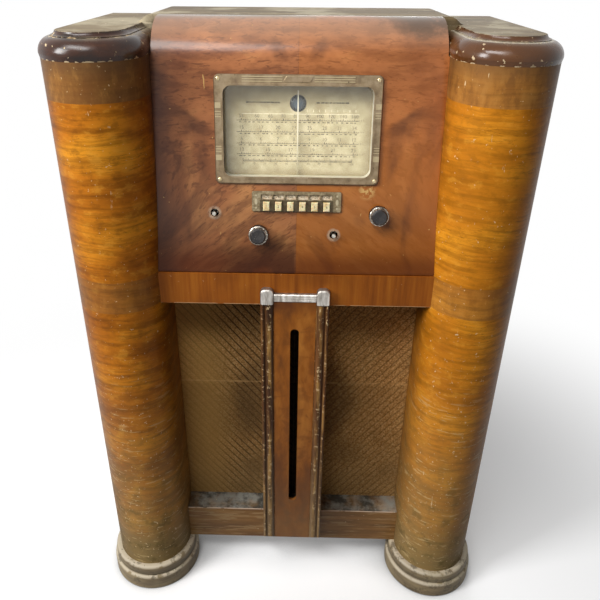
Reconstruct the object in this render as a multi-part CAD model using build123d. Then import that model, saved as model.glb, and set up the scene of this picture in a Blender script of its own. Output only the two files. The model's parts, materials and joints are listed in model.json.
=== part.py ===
from build123d import *
import os
from math import cos, radians, sin, tan

# Console radio, about 1940: two round front columns, a sloping control panel
# that rolls back into the top, a grille with a centre pilaster, and the set
# and its loudspeaker inside, open at the back.
# Millimetres. +Z is up, the front faces -Y, and the origin is the middle of
# the footprint on the floor.

# Cabinet envelope
overall_height = 1060.0
overall_depth = 360.0
centre_rise = 11.5
back_y = overall_depth / 2
top_level = overall_height - centre_rise

# Columns: bent plywood, half round in front with straight flanks behind
column_spacing = 568.0
column_radius = 71.0
column_wall = 8.0
inner_flank = 98.0
outer_flank = 5.0
block_thickness = 18.0
block_reach = 22.0

# Feet: turned discs with two steps
foot_radius = 86.0
foot_step_radius = 81.5
foot_step_height = 34.0
foot_height = 56.0
foot_round = 6.0
foot_groove = 2.5

# Crown moulding round each column head
crown_height = 34.5
crown_bulge = 1.5
nosing_spring = 6.5
nosing_height = 27.5
crown_seat = 22.0
crown_ledge = 8.0
bead_radius = 53.5
bead_groove = 1.0

# Boards
side_thickness = 12.0
leg_width = 60.0
leg_curve = 34.0
top_board_thickness = crown_height - crown_seat
lobe_radius = 46.5
centre_half_width = 250.0
centre_bevel = 28.0
centre_corner = 22.0
rail_thickness = 18.0
rail_depth = 60.0
cleat = 18.0
seat_gap = 0.2

# Front: control panel, apron, rail and baffle, measured from the column plane
panel_tilt = 8.7
panel_thickness = centre_rise
panel_head = 84.5
panel_advance = 27.0
panel_toe = 6.0
roll_radius = 70.0
roll_run = 8.0
apron_drop = 55.0
apron_advance = 28.0
rail_level = 135.0
rail_set_back = 1.0
cloth_set_back = 43.0
sill_thickness = 12.0
cloth_thickness = 1.0
baffle_thickness = 12.0

# Pilaster in the middle of the grille
post_width = 21.5
post_spacing = 90.5
post_proud = 10.0
post_overlap = 5.5
post_foot_cut = 32.0
reed_width = 6.0
slot_panel_proud = 6.0
slot_width = 14.4
slot_foot = 66.0
slot_head = 48.5
cap_height = 26.5
cap_proud = 1.2
bar_height = 14.0
bar_gap = 2.5
bar_thickness = 7.0

# Dial: sizes across and up the slope of the panel
escutcheon_side = 13.0
escutcheon_foot = 11.5
escutcheon_head = 16.0
escutcheon_plate = 4.0
escutcheon_corner = 8.0
rim_width = 3.0
rib_pitch = 3.6
rib_level = 25.0
band_level = 37.5
band_height = 8.0
reed_pitch = 3.2
reed_length = 58.0
reed_offset = 52.0
opening_width = 218.0
opening_height = 130.0
opening_foot = 155.5
opening_corner = 12.0
flange_wall = 1.5
rim_height = 1.6
screw_radius = 1.5
glass_thickness = 2.2
glass_lap = 6.0
scale_thickness = 1.5
scale_lap = 7.0
pointer_gap = 1.2
slider_thickness = 6.0
slider_length = 16.0
slider_height = 7.0
rod_radius = 2.0
pointer_travel = 85.0
pointer_width = 1.8
eye_drop = 25.0
eye_radius = 12.5
eye_length = 62.0

# Push buttons
button_count = 6
button_pitch = 18.3
button_width = 10.0
button_height = 14.0
button_proud = 8.0
button_travel = 5.0
button_plate_end = 13.1
button_plate_height = 31.5
button_plate_foot = 101.3
button_plate_thickness = 2.5
button_margin = 2.2
label_height = 7.5
label_margin = 5.0
button_fit = 0.35
stem_width = 5.0
stem_height = 6.0
stem_length = 16.0

# Controls on the panel: two outer, two inner
outer_control_x = 125.5
outer_control_height = 98.0
inner_control_x = 58.0
inner_control_height = 65.5
shaft_radius = 3.175
shaft_hole_radius = 6.5
shaft_fit = 0.05
bare_shaft_proud = 8.0
bare_end_length = 7.0
shaft_chamfer = 0.5
shaft_relief = 0.3
knob_radius = 15.0
knob_length = 18.0
knob_gap = 1.5
bush_radius = 4.75
bush_length = 7.0
control_radius = 12.5
control_depth = 12.0
control_floor = 2.0

# Chassis, square to the panel
chassis_depth = 190.0
chassis_half_width = 165.0
chassis_front = 44.0
chassis_foot = 52.0
chassis_height = 76.0
sheet = 1.2
bracket_lap = 12.0
shelf_thickness = 12.0
shelf_front = 12.0
shelf_back = 255.0

# Deck of the chassis: a grid of valves and cans
deck_margin = 21.0
deck_pitch = 41.0
deck_first_row = 44.0
deck_row_pitch = 53.0
base_radius = 16.0
base_height = 26.0
base_flange = 3.0
bulb_radius = 19.0
bulb_neck = 12.0
bulb_length = 75.0
can_radius = 17.5
can_height = 88.0
coil_can_width = 34.0
coil_can_height = 82.0
core_width = 84.0
core_thickness = 36.0
bell_width = 66.0
bell_thickness = 24.0

# Tuning drive: the cord drum turns half a turn for the pointer's whole travel
drum_radius = 2 * pointer_travel / 3.14159265
drum_width = 7.0
drum_depth = 28.0
gang_x = 92.0
gang_height = 184.0
spool_radius = 4.5
plate_count = 9
plate_pitch = 3.0
plate_thickness = 0.7
rotor_radius = 25.0
stator_gap = 3.0

# Loudspeaker
speaker_radius = 131.0
speaker_hole_radius = 115.0
speaker_depth = 84.0
basket_window = 45.0
magnet_radius = 46.0
magnet_length = 62.0
output_core_width = 44.0
output_core_thickness = 32.0
output_coil_proud = 7.0
output_foot_proud = 12.0

# Places worked out from the sizes above
panel_foot_level = overall_height - opening_foot - opening_height - panel_head
column_x = column_spacing / 2
column_y = foot_radius - back_y
crown_level = top_level - crown_height
side_face = column_x + column_radius
side_inner = side_face - side_thickness
flank_face = column_x - column_radius
panel_y = column_y - panel_advance
apron_y = column_y - apron_advance
rail_y = column_y + rail_set_back
cloth_y = column_y + cloth_set_back
baffle_y = cloth_y + cloth_thickness
post_y = apron_y - post_proud
slot_panel_y = apron_y - slot_panel_proud
apron_level = panel_foot_level - apron_drop
post_level = apron_level + post_overlap
slot_bottom = rail_level + slot_foot
slot_top = post_level - slot_head
speaker_level = (rail_level + apron_level) / 2
escutcheon_width = opening_width + 2 * escutcheon_side
escutcheon_height = escutcheon_foot + opening_height + escutcheon_head
dial_centre = opening_foot + opening_height / 2
eye_height = opening_foot + opening_height - eye_drop
pointer_depth = panel_thickness + glass_thickness + pointer_gap + slider_thickness / 2
scale_depth = pointer_depth + slider_thickness / 2 + pointer_gap
button_plate_width = button_pitch * button_count + 2 * button_plate_end
button_centre = button_plate_foot + button_margin + button_height / 2
label_centre = button_plate_foot + button_plate_height - label_margin - label_height / 2
tilt = radians(panel_tilt)
deck = chassis_foot + chassis_height
# x runs across, y up the slope and z out of the panel's front face
panel_frame = Plane(
    origin=(0, panel_y, panel_foot_level), x_dir=(1, 0, 0), z_dir=(0, -cos(tilt), sin(tilt))
)
# centre and end of the quarter roll at the panel's top
roll_z = overall_height - roll_radius
roll_y = panel_y + (roll_z + roll_radius * sin(tilt) - panel_foot_level) * tan(tilt)
roll_y = roll_y + roll_radius * cos(tilt)
centre_front = roll_y + roll_run


def block(x0, x1, y0, y1, z0, z1):
    """Box between two corners."""
    centre = Pos((x0 + x1) / 2, (y0 + y1) / 2, (z0 + z1) / 2)
    return centre * Box(x1 - x0, y1 - y0, z1 - z0)


def on_panel(x, height, depth):
    """Place on the panel: across, up the slope, and depth behind its front face."""
    return panel_frame.location * Pos(x, height, -depth)


def both(shape):
    """A piece and its mirror image on the other side."""
    return [shape, mirror(shape, about=Plane.YZ)]


def turned(outline):
    """Solid of revolution about Z from a closed outline in the XZ plane."""
    return revolve(outline, Axis.Z, 360)


def profile(points):
    """Flat face in the XZ plane through the points given as radius and height."""
    return Plane.XZ * make_face(Polyline(*points, close=True))


def column_plan(radius, inner, outer):
    """Plan of the right column: half round in front, a flank on each side behind."""
    half_round = Circle(radius) - Pos(0, radius) * Rectangle(3 * radius, 2 * radius)
    inner_part = Pos(-radius / 2, inner / 2) * Rectangle(radius, inner)
    outer_part = Pos(radius / 2, outer / 2) * Rectangle(radius, outer)
    return Pos(column_x, column_y) * (half_round + inner_part + outer_part)


def column_envelope(gap):
    """What the panel, apron, rail, baffle and shelf are cut round, on both sides."""
    reach = inner_flank + gap
    plan = column_plan(column_radius + gap, reach, reach)
    head = column_plan(column_radius + crown_bulge + 2 * gap, reach, reach)
    body = extrude(plan, overall_height)
    body = body + Pos(0, 0, crown_level - gap) * extrude(head, overall_height)
    return Compound(both(body))


def column():
    plan = column_plan(column_radius, inner_flank, outer_flank)
    hollow = column_plan(
        column_radius - column_wall, inner_flank + column_radius, outer_flank + column_radius
    )
    return Pos(0, 0, foot_height) * extrude(plan - hollow, crown_level - foot_height)


def glue_blocks():
    """Hidden blocks and strips: column ends, baffle, shelf and back corners."""
    return Compound(both(column_blocks()) + both(baffle_cleat()) + both(shelf_cleat()) + both(rear_post()))


def column_blocks():
    """Blocks that close a column's two ends and carry its foot and crown."""
    plan = column_plan(column_radius - column_wall, block_reach, outer_flank)
    lower = Pos(0, 0, foot_height) * extrude(plan, block_thickness)
    upper = Pos(0, 0, crown_level - block_thickness) * extrude(plan, block_thickness)
    return Compound([lower, upper])


def foot():
    """Turned disc: a lower ring, a groove and a smaller upper ring."""
    groove_radius = foot_step_radius - foot_groove
    lower = rounded_edge(foot_radius, foot_step_height)
    upper = rounded_edge(foot_step_radius, foot_height)
    groove = [
        (groove_radius, foot_step_height),
        (groove_radius, foot_step_height + foot_groove),
        (foot_step_radius, foot_step_height + foot_groove),
    ]
    toe = [(0, 0), (foot_radius - foot_groove, 0), (foot_radius, foot_groove)]
    return Pos(column_x, column_y, 0) * turned(profile(toe + lower + groove + upper + [(0, foot_height)]))


def rounded_edge(radius, top):
    """Quarter round at a ring's upper edge, in five flats."""
    angles = [radians(18 * step) for step in range(6)]
    return [
        (radius - foot_round * (1 - cos(angle)), top - foot_round * (1 - sin(angle)))
        for angle in angles
    ]


def crown_section():
    """Section of the crown: a round nosing, a groove, a bead and a ledge for the top board."""
    ledge = lobe_radius - crown_ledge
    seat = lobe_radius + seat_gap
    bead_top = crown_height - 0.5
    with BuildSketch(Plane.XZ) as section:
        with BuildLine():
            Polyline((seat, crown_seat), (ledge, crown_seat), (ledge, 0), (column_radius, 0))
            side = Line((column_radius, 0), (column_radius + crown_bulge, nosing_spring))
            TangentArc(side @ 1, (bead_radius + bead_groove, nosing_height), tangent=(0, 1))
            Polyline(
                (bead_radius + bead_groove, nosing_height),
                (bead_radius - bead_groove, nosing_height),
                (bead_radius - bead_groove, nosing_height + bead_groove),
                (bead_radius, nosing_height + bead_groove),
            )
            RadiusArc(
                (bead_radius, nosing_height + bead_groove), (seat + 1, bead_top), nosing_height / 4
            )
            Polyline((seat + 1, bead_top), (seat, bead_top), (seat, crown_seat))
        make_face()
    return section.sketch


def crown():
    section = crown_section()
    nose = Rot(0, 0, 180) * revolve(section, Axis.Z, 180)
    outer_run = extrude(section, back_y - column_y, dir=(0, 1, 0))
    inner_run = mirror(extrude(section, inner_flank, dir=(0, 1, 0)), about=Plane.YZ)
    return Pos(column_x, column_y, crown_level) * (nose + outer_run + inner_run)


def side_panel():
    """Plywood side behind the column, with a leg down to the floor at the back."""
    front = column_y + outer_flank
    leg = back_y - leg_width
    with BuildSketch(Plane.YZ) as outline:
        with BuildLine():
            Polyline((front, crown_level), (front, foot_height), (leg - leg_curve, foot_height))
            ThreePointArc(
                (leg - leg_curve, foot_height),
                (leg - leg_curve * 0.3, foot_height - leg_curve * 0.3),
                (leg, foot_height - leg_curve),
            )
            Polyline(
                (leg, foot_height - leg_curve),
                (leg, 0),
                (back_y, 0),
                (back_y, crown_level),
                (front, crown_level),
            )
        make_face()
    return Pos(side_inner, 0, 0) * extrude(outline.sketch, side_thickness)


def top_board():
    """Top with a round lobe over each column, and a tongue under the panel's top edge."""
    lobe = column_plan(lobe_radius, back_y - column_y, back_y - column_y)
    span_front = column_y + inner_flank + seat_gap
    middle = Pos(0, (span_front + back_y) / 2) * Rectangle(column_spacing, back_y - span_front)
    tongue_width = 2 * (flank_face - crown_bulge - 2 * seat_gap)
    tongue = Pos(0, (roll_y + span_front) / 2) * Rectangle(tongue_width, span_front - roll_y)
    plan = lobe + mirror(lobe, about=Plane.YZ) + middle + tongue
    return Pos(0, 0, crown_level + crown_seat) * extrude(plan, top_board_thickness)


def top_centre():
    """Raised middle of the top: ogee sides, its front edge level with the panel's roll."""
    depth = back_y - centre_front
    inner = centre_half_width - centre_bevel
    with BuildSketch(Plane.XZ) as section:
        with BuildLine():
            Line((-centre_half_width, 0), (centre_half_width, 0))
            Bezier(
                (centre_half_width, 0),
                (centre_half_width - centre_bevel / 2, 0),
                (inner + centre_bevel / 2, centre_rise),
                (inner, centre_rise),
            )
            Line((inner, centre_rise), (-inner, centre_rise))
            Bezier(
                (-inner, centre_rise),
                (-inner - centre_bevel / 2, centre_rise),
                (-centre_half_width + centre_bevel / 2, 0),
                (-centre_half_width, 0),
            )
        make_face()
    board = extrude(section.sketch, depth, dir=(0, 1, 0))
    plan = Pos(0, depth / 2) * Rectangle(2 * centre_half_width, depth)
    plan = fillet(plan.vertices().sort_by(Axis.Y)[:2], centre_corner)
    board = board & extrude(plan, centre_rise)
    return Pos(0, centre_front, top_level) * board


def panel_edges(inset):
    """Side view of the panel at a depth behind its face: slope, roll and short flat."""
    radius = roll_radius - inset
    normal = Vector(-cos(tilt), sin(tilt))
    centre = Vector(roll_y, roll_z)
    slope_top = centre + normal * radius
    top = centre + Vector(0, radius)
    middle = centre + Vector(-sin(tilt / 2 + radians(45)), cos(tilt / 2 + radians(45))) * radius
    foot = Vector(panel_y, panel_foot_level) - normal * inset
    foot = foot + Vector(sin(tilt), cos(tilt)) * ((panel_foot_level - foot.Y) / cos(tilt))
    return foot, slope_top, middle, top, Vector(centre_front - seat_gap, top.Y)


def control_panel():
    """Bent plywood panel, scribed to the columns and cut for the dial and controls."""
    foot, slope_top, middle, top, end = panel_edges(0)
    foot_in, slope_top_in, middle_in, top_in, end_in = panel_edges(panel_thickness)
    slope = (slope_top - foot).normalized()
    toe_top = foot + slope * panel_toe
    toe = foot + Vector(1.5, 0)
    with BuildSketch(Plane.YZ) as section:
        with BuildLine():
            Spline(toe, toe_top, tangents=((-0.6, 1), (slope.X, slope.Y)))
            Line(toe_top, slope_top)
            ThreePointArc(slope_top, middle, top)
            Polyline(top, end, end_in, top_in)
            ThreePointArc(top_in, middle_in, slope_top_in)
            Polyline(slope_top_in, foot_in, toe)
        make_face()
    half = column_x - column_radius / 2
    panel = Pos(-half, 0, 0) * extrude(section.sketch, 2 * half)
    panel = panel - column_envelope(seat_gap)
    cut = 4 * panel_thickness
    window = RectangleRounded(
        opening_width + 2 * flange_wall + 1, opening_height + 2 * flange_wall + 1, opening_corner
    )
    panel = panel - on_panel(0, dial_centre, cut / 2) * extrude(window, cut)
    button_row = Box(button_pitch * button_count, button_height + 2, cut)
    panel = panel - on_panel(0, button_centre, 0) * button_row
    for x, height in control_places():
        panel = panel - on_panel(x, height, 0) * Cylinder(shaft_hole_radius, cut)
    return panel


def control_places():
    """Tone, volume, band and tuning, from left to right."""
    return [
        (-outer_control_x, outer_control_height),
        (-inner_control_x, inner_control_height),
        (inner_control_x, inner_control_height),
        (outer_control_x, outer_control_height),
    ]


def apron():
    board = block(
        -column_x, column_x, apron_y, apron_y + rail_thickness, apron_level, panel_foot_level
    )
    return board - column_envelope(seat_gap)


def bottom_rail():
    board = block(-column_x, column_x, rail_y, rail_y + rail_thickness, foot_height, rail_level)
    return board - column_envelope(seat_gap)


def sill():
    """Ledge behind the rail's top edge, below the cloth."""
    y0 = rail_y + rail_thickness
    board = block(-column_x, column_x, y0, baffle_y, rail_level - sill_thickness, rail_level)
    return board - column_envelope(seat_gap)


def baffle():
    board = block(
        -column_x, column_x, baffle_y, baffle_y + baffle_thickness, foot_height, panel_foot_level
    )
    hole = Pos(0, baffle_y, speaker_level) * Rot(90, 0, 0) * Cylinder(speaker_hole_radius, 100)
    return board - column_envelope(seat_gap) - hole


def baffle_cleat():
    """Strip up a column's flank that the baffle is screwed to."""
    y0 = baffle_y + baffle_thickness
    return block(flank_face - cleat, flank_face, y0, y0 + cleat, foot_height, panel_foot_level)


def grille_cloth():
    """Right-hand half of the cloth over the baffle."""
    return block(
        seat_gap, flank_face - seat_gap, cloth_y, baffle_y, rail_level, panel_foot_level
    )


def post():
    """Reeded post of the pilaster, notched over the apron and the bottom rail."""
    half = post_width / 2
    back = cloth_y - post_y
    with BuildSketch() as plan:
        with BuildLine():
            Polyline(
                (-half, 5),
                (-half, back),
                (half, back),
                (half, reed_width / 2),
            )
            ThreePointArc(
                (half, reed_width / 2), (half - reed_width / 2, 0), (half - reed_width, reed_width / 2)
            )
            Line((half - reed_width, reed_width / 2), (half - reed_width - 1, reed_width / 2))
            ThreePointArc(
                (half - reed_width - 1, reed_width / 2),
                ((half - reed_width - 1 - half) / 2, 0),
                (-half, 5),
            )
        make_face()
    x = post_spacing / 2
    shape = Pos(x, post_y, 0) * extrude(plan.sketch, post_level)
    over_apron = block(0, 2 * x, apron_y - seat_gap, baffle_y, apron_level, overall_height)
    over_rail = block(0, 2 * x, rail_y - seat_gap, baffle_y, 0, rail_level)
    return shape - over_apron - over_rail - foot_wedge()


def foot_wedge():
    """Slant that brings the pilaster's foot back to the rail's lower edge."""
    start = rail_level - post_foot_cut
    front = post_y - post_proud
    lead = (start - foot_height) / (rail_y - post_y) * post_proud
    slant = Polyline(
        (front, -post_proud),
        (front, start + lead),
        (rail_y, foot_height),
        (rail_y, -post_proud),
        close=True,
    )
    return Pos(-column_x, 0, 0) * extrude(Plane.YZ * make_face(slant), 2 * column_x)


def slot_panel():
    """Veneered front of the pilaster with its long sound slot."""
    half = (post_spacing - post_width) / 2 - seat_gap
    top = post_level + bar_gap
    board = block(-half, half, slot_panel_y, apron_y - seat_gap, 0, top) - foot_wedge()
    slot = SlotOverall(slot_top - slot_bottom, slot_width, rotation=90)
    middle = (slot_top + slot_bottom) / 2
    cut = Plane.XZ * extrude(slot, 4 * slot_width, both=True)
    return board - Pos(0, slot_panel_y, middle) * cut


def post_cap():
    """Cast cap over a post's head: rounded top, standing against the apron."""
    half = post_width / 2
    outline = Pos(0, cap_height / 2) * Rectangle(2 * half, cap_height)
    outline = fillet(outline.vertices().sort_by(Axis.Y)[-2:], half * 0.72)
    depth = apron_y - seat_gap - post_y + cap_proud
    cap = extrude(Plane.XZ * outline, depth)
    front = cap.faces().sort_by(Axis.Y)[0]
    cap = fillet(front.edges().filter_by(GeomType.CIRCLE), 4.0)
    return Pos(post_spacing / 2, apron_y - seat_gap, post_level) * cap


def pilaster_caps():
    """The two post caps and the ribbed bar between them."""
    return Compound(both(post_cap()) + [cap_bar()])


def cap_bar():
    half = (post_spacing - post_width) / 2 - seat_gap
    y0 = apron_y - seat_gap - bar_thickness
    z0 = post_level + bar_gap
    bar = block(-half, half, y0, apron_y - seat_gap, z0, z0 + bar_height)
    bar = chamfer(bar.faces().sort_by(Axis.Y)[0].edges().filter_by(Axis.X), 1.5)
    for level in (0.36, 0.64):
        groove = Pos(0, y0, z0 + level * bar_height) * Rot(0, 90, 0) * Cylinder(0.8, 2 * half)
        bar = bar - groove
    return bar


def shelf():
    """Board that carries the chassis, square to the panel."""
    span = shelf_back - shelf_front
    board = Box(2 * (side_inner - seat_gap), shelf_thickness, span)
    centre = on_panel(0, chassis_foot - shelf_thickness / 2, shelf_front + span / 2)
    return centre * board - column_envelope(seat_gap)


def shelf_cleat():
    """Sloping strip on a side panel, under the shelf."""
    start = inner_flank + 2 * cleat
    span = shelf_back - start
    strip = Box(cleat, cleat, span)
    x = side_inner - cleat / 2
    height = chassis_foot - shelf_thickness - cleat / 2
    return on_panel(x, height, start + span / 2) * strip


def rear_post():
    """Upright strip in a back corner."""
    y1 = back_y - rail_thickness
    return block(side_inner - cleat, side_inner, y1 - cleat, y1, foot_height, crown_level)


def rear_rails():
    lower = block(
        -side_inner, side_inner, back_y - rail_thickness, back_y, foot_height, foot_height + rail_depth
    )
    upper = block(
        -side_inner, side_inner, back_y - rail_thickness, back_y, crown_level - rail_depth, crown_level
    )
    head = block(
        crown_ledge - lobe_radius - column_x,
        column_x + lobe_radius - crown_ledge,
        back_y - rail_thickness,
        back_y,
        crown_level,
        crown_level + crown_seat,
    )
    return Compound([lower, upper + head])


def escutcheon():
    """Cast dial frame: chamfered plate, raised rim, return flange, reeds and ribs."""
    middle = (escutcheon_head - escutcheon_foot) / 2
    outer = Pos(0, middle) * RectangleRounded(escutcheon_width, escutcheon_height, escutcheon_corner)
    plate = extrude(outer, escutcheon_plate)
    plate = chamfer(plate.faces().sort_by(Axis.Z)[-1].edges(), escutcheon_plate * 0.4)
    plate = plate + extrude(opening_outline(rim_width), escutcheon_plate + rim_height)
    flange = extrude(opening_outline(flange_wall), panel_thickness)
    plate = plate + Pos(0, 0, -panel_thickness) * flange
    plate = plate + extrude(escutcheon_relief(), escutcheon_plate + rim_height / 2)
    plate = plate - extrude(opening_outline(0), 2 * panel_thickness, both=True)
    for x, y in escutcheon_screw_places():
        plate = plate - Pos(x, y + middle, 0) * Cylinder(screw_radius, 4 * escutcheon_plate)
    return on_panel(0, dial_centre, 0) * plate


def opening_outline(margin):
    """The dial opening with a margin all round."""
    return RectangleRounded(
        opening_width + 2 * margin, opening_height + 2 * margin, opening_corner + margin
    )


def escutcheon_relief():
    """Plan of the ribs and plain bands on the sides and the reeds along the top."""
    side_x = (escutcheon_width + opening_width) / 4
    width = escutcheon_side - rim_width
    reed_level = (opening_height + rim_width + escutcheon_head) / 2
    relief = Sketch()
    for side in (-1, 1):
        for step in (-1, 0, 1):
            for end in (-1, 1):
                level = end * rib_level + step * rib_pitch
                relief = relief + Pos(side * side_x, level) * Rectangle(width, rib_pitch * 0.45)
            level = reed_level + step * reed_pitch
            relief = relief + Pos(side * reed_offset, level) * Rectangle(reed_length, reed_pitch * 0.4)
        for end in (-1, 1):
            relief = relief + Pos(side * side_x, end * band_level) * Rectangle(width, band_height)
    return relief


def escutcheon_screw_places():
    x = (escutcheon_width + opening_width) / 4
    y = escutcheon_height / 2 - escutcheon_side / 2
    return [(-x, -y), (x, -y), (-x, y), (x, y)]


def dial_glass():
    width = opening_width + 2 * (flange_wall + glass_lap)
    height = opening_height + 2 * (flange_wall + glass_lap)
    pane = RectangleRounded(width, height, opening_corner + glass_lap)
    return on_panel(0, dial_centre, panel_thickness + glass_thickness) * extrude(pane, glass_thickness)


def dial_scale():
    """Printed scale plate behind the glass, with a hole for the tuning eye."""
    width = opening_width + 2 * scale_lap
    height = opening_height + 2 * scale_lap
    plate = RectangleRounded(width, height, scale_lap / 2)
    plate = plate - Pos(0, eye_height - dial_centre) * Circle(eye_radius)
    return on_panel(0, dial_centre, scale_depth + scale_thickness) * extrude(plate, scale_thickness)


def dial_bracket():
    """Folded steel plate that stands on the chassis and carries the scale."""
    width = opening_width + 2 * scale_lap
    top = opening_foot + opening_height + scale_lap
    depth = scale_depth + scale_thickness
    plate = on_panel(0, (deck + top) / 2, depth + sheet / 2) * Box(width, top - deck, sheet)
    foot_length = chassis_front - depth + bracket_lap
    foot = on_panel(0, deck + sheet / 2, depth + foot_length / 2) * Box(width, sheet, foot_length)
    eye = on_panel(0, eye_height, depth) * Cylinder(eye_radius + 3, 20)
    drum_slot = on_panel(gang_x, deck, drum_depth + drum_width / 2)
    drum_slot = drum_slot * Box(2 * drum_radius, 2 * cleat, drum_width + 4)
    return plate + foot - eye - drum_slot


def pointer_rail():
    """Rod below the scale's opening that the pointer slides on, on two ears."""
    length = opening_width + 2 * scale_lap - 8
    height = opening_foot - scale_lap + 1.5
    rod = on_panel(0, height, pointer_depth) * Rot(0, 90, 0) * Cylinder(rod_radius, length)
    ear_depth = scale_depth - pointer_depth
    ear = Box(3, 6, ear_depth + 3)
    ears = [
        on_panel(side * (length / 2 - 1.5), height, (scale_depth + pointer_depth - 3) / 2) * ear
        for side in (-1, 1)
    ]
    return rod + ears[0] + ears[1]


def dial_pointer():
    """Pointer with a slider that runs on the rod."""
    height = opening_foot - scale_lap + 1.5
    slider = Box(slider_length, slider_height, slider_thickness)
    slider = slider - Rot(0, 90, 0) * Cylinder(rod_radius + shaft_fit, 2 * slider_length)
    needle_foot = height + slider_height / 2 - 0.5
    needle_top = eye_height + eye_radius + 6
    length = needle_top - needle_foot
    needle = Pos(0, needle_foot - height + length / 2, 0) * Box(pointer_width, length, 1.0)
    return on_panel(0, height, pointer_depth) * (slider + needle)


def eye_tube():
    """Tuning-eye valve: glass envelope with its target end at the scale."""
    radius = eye_radius + 1.5
    outline = [
        (0, 0),
        (radius - 3, 0),
        (radius, 3),
        (radius, eye_length - 22),
        (radius - 3, eye_length - 14),
        (radius - 3, eye_length),
        (0, eye_length),
    ]
    bulb = turned(profile([(r, -z) for r, z in outline]))
    return on_panel(0, eye_height, scale_depth + scale_thickness + 0.5) * bulb


def eye_base():
    """Socket of the tuning eye on a strap from the dial bracket."""
    front = scale_depth + scale_thickness + 0.5 + eye_length
    cup = Pos(0, 0, -9) * Cylinder(eye_radius + 1, 18)
    strap_length = front - scale_depth - scale_thickness - sheet + 6
    strap_y = eye_radius + 4
    strap = Pos(0, -strap_y, strap_length / 2 - 6) * Box(14, sheet, strap_length)
    lug = Pos(0, -(strap_y + eye_radius) / 2, -5) * Box(14, strap_y - eye_radius + sheet, 2)
    return on_panel(0, eye_height, front) * (cup + strap + lug)


def button_places():
    first = -(button_count - 1) / 2 * button_pitch
    return [first + i * button_pitch for i in range(button_count)]


def button_plate():
    """Bezel of the push buttons: six key openings under six label windows."""
    centre = button_plate_foot + button_plate_height / 2
    plate = extrude(RectangleRounded(button_plate_width, button_plate_height, 3), button_plate_thickness)
    plate = chamfer(plate.faces().sort_by(Axis.Z)[-1].edges(), 0.8)
    for x in button_places():
        key = Box(button_width + 2 * button_fit, button_height + 2 * button_fit, 10)
        plate = plate - Pos(x, button_centre - centre, 0) * key
        plate = plate - Pos(x, label_centre - centre, 0) * Box(button_pitch - 2, label_height, 10)
    for side in (-1, 1):
        boss_x = side * (button_plate_width - button_plate_end) / 2
        lozenge = Ellipse(button_plate_end / 6, button_plate_height / 7)
        plate = plate + Pos(boss_x, 0, 0) * extrude(lozenge, button_plate_thickness + 1.2)
        for end in (-1, 1):
            dot = Cylinder(button_plate_end / 9, 2.4)
            plate = plate + Pos(boss_x, end * button_plate_height * 0.3, button_plate_thickness) * dot
    recess = Pos(0, label_centre - centre, 0.3)
    plate = plate - recess * Box(button_pitch * button_count + 2, label_height + 3, 0.6)
    return on_panel(0, centre, 0) * plate


def push_button(x):
    """Key cap with a stem that runs into the switch block."""
    cap = Box(button_width, button_height, button_proud + panel_thickness)
    cap = fillet(cap.faces().sort_by(Axis.Z)[-1].edges(), 1.4)
    cap = Pos(0, 0, (button_proud - panel_thickness) / 2) * cap
    stem = Pos(0, 0, -panel_thickness - stem_length / 2) * Box(stem_width, stem_height, stem_length)
    return on_panel(x, button_centre, 0) * (cap + stem)


def button_block():
    """Switch block behind the buttons, on the front face of the chassis."""
    front = panel_thickness + button_travel + 3
    depth = chassis_front - front
    width = button_pitch * button_count
    body = Pos(0, 0, -front - depth / 2) * Box(width, button_height + 8, depth)
    for x in button_places():
        guide = Box(stem_width + 2 * button_fit, stem_height + 2 * button_fit, 2 * (depth - 3))
        body = body - Pos(x, 0, -front) * guide
    return on_panel(0, button_centre, 0) * body


def control_bodies():
    """Volume, tone and band controls and the tuning bearing, bushes through the chassis."""
    front = chassis_front - bush_length
    outline = [
        (shaft_radius + shaft_fit, -front),
        (bush_radius, -front),
        (bush_radius, -chassis_front - sheet),
        (control_radius, -chassis_front - sheet),
        (control_radius, -chassis_front - sheet - control_depth),
        (0, -chassis_front - sheet - control_depth),
        (0, -chassis_front - sheet - control_depth + control_floor),
        (shaft_radius + shaft_fit, -chassis_front - sheet - control_depth + control_floor),
    ]
    body = turned(profile(outline))
    return Compound([on_panel(x, height, 0) * body for x, height in control_places()])


def shaft(proud):
    """Control shaft with a flat, from its body to a height in front of the panel."""
    back = chassis_front + sheet + control_depth - control_floor - shaft_chamfer
    flat = Pos(0, shaft_radius, proud - 5) * Box(10, 1.2, 12)
    rod = Pos(0, 0, (proud - back) / 2) * Cylinder(shaft_radius, proud + back)
    return rod - flat


def bare_shaft(x, height):
    """Shaft without its knob: a plain round end above an undercut."""
    back = chassis_front + sheet + control_depth - control_floor - shaft_chamfer
    top = bare_shaft_proud - shaft_chamfer
    undercut = shaft_radius - shaft_relief
    outline = [
        (0, bare_shaft_proud),
        (shaft_radius - shaft_chamfer, bare_shaft_proud),
        (shaft_radius, top),
        (shaft_radius, top - bare_end_length),
        (undercut, top - bare_end_length),
        (undercut, -panel_thickness),
        (shaft_radius, -panel_thickness),
        (shaft_radius, -back),
        (0, -back),
    ]
    return on_panel(x, height, 0) * turned(profile(outline))


def knob_shaft(x, height, spool):
    """Shaft of a knob; the tuning shaft also has the cord spool."""
    rod = shaft(knob_length / 2)
    if spool:
        depth = drum_depth + drum_width / 2
        outline = [
            (shaft_radius, 4.0),
            (spool_radius + 2, 4.0),
            (spool_radius, 2.5),
            (spool_radius, -2.5),
            (spool_radius + 2, -4.0),
            (shaft_radius, -4.0),
        ]
        ring = turned(profile(outline))
        rod = rod + Pos(0, 0, -depth) * ring
    return on_panel(x, height, 0) * rod


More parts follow.
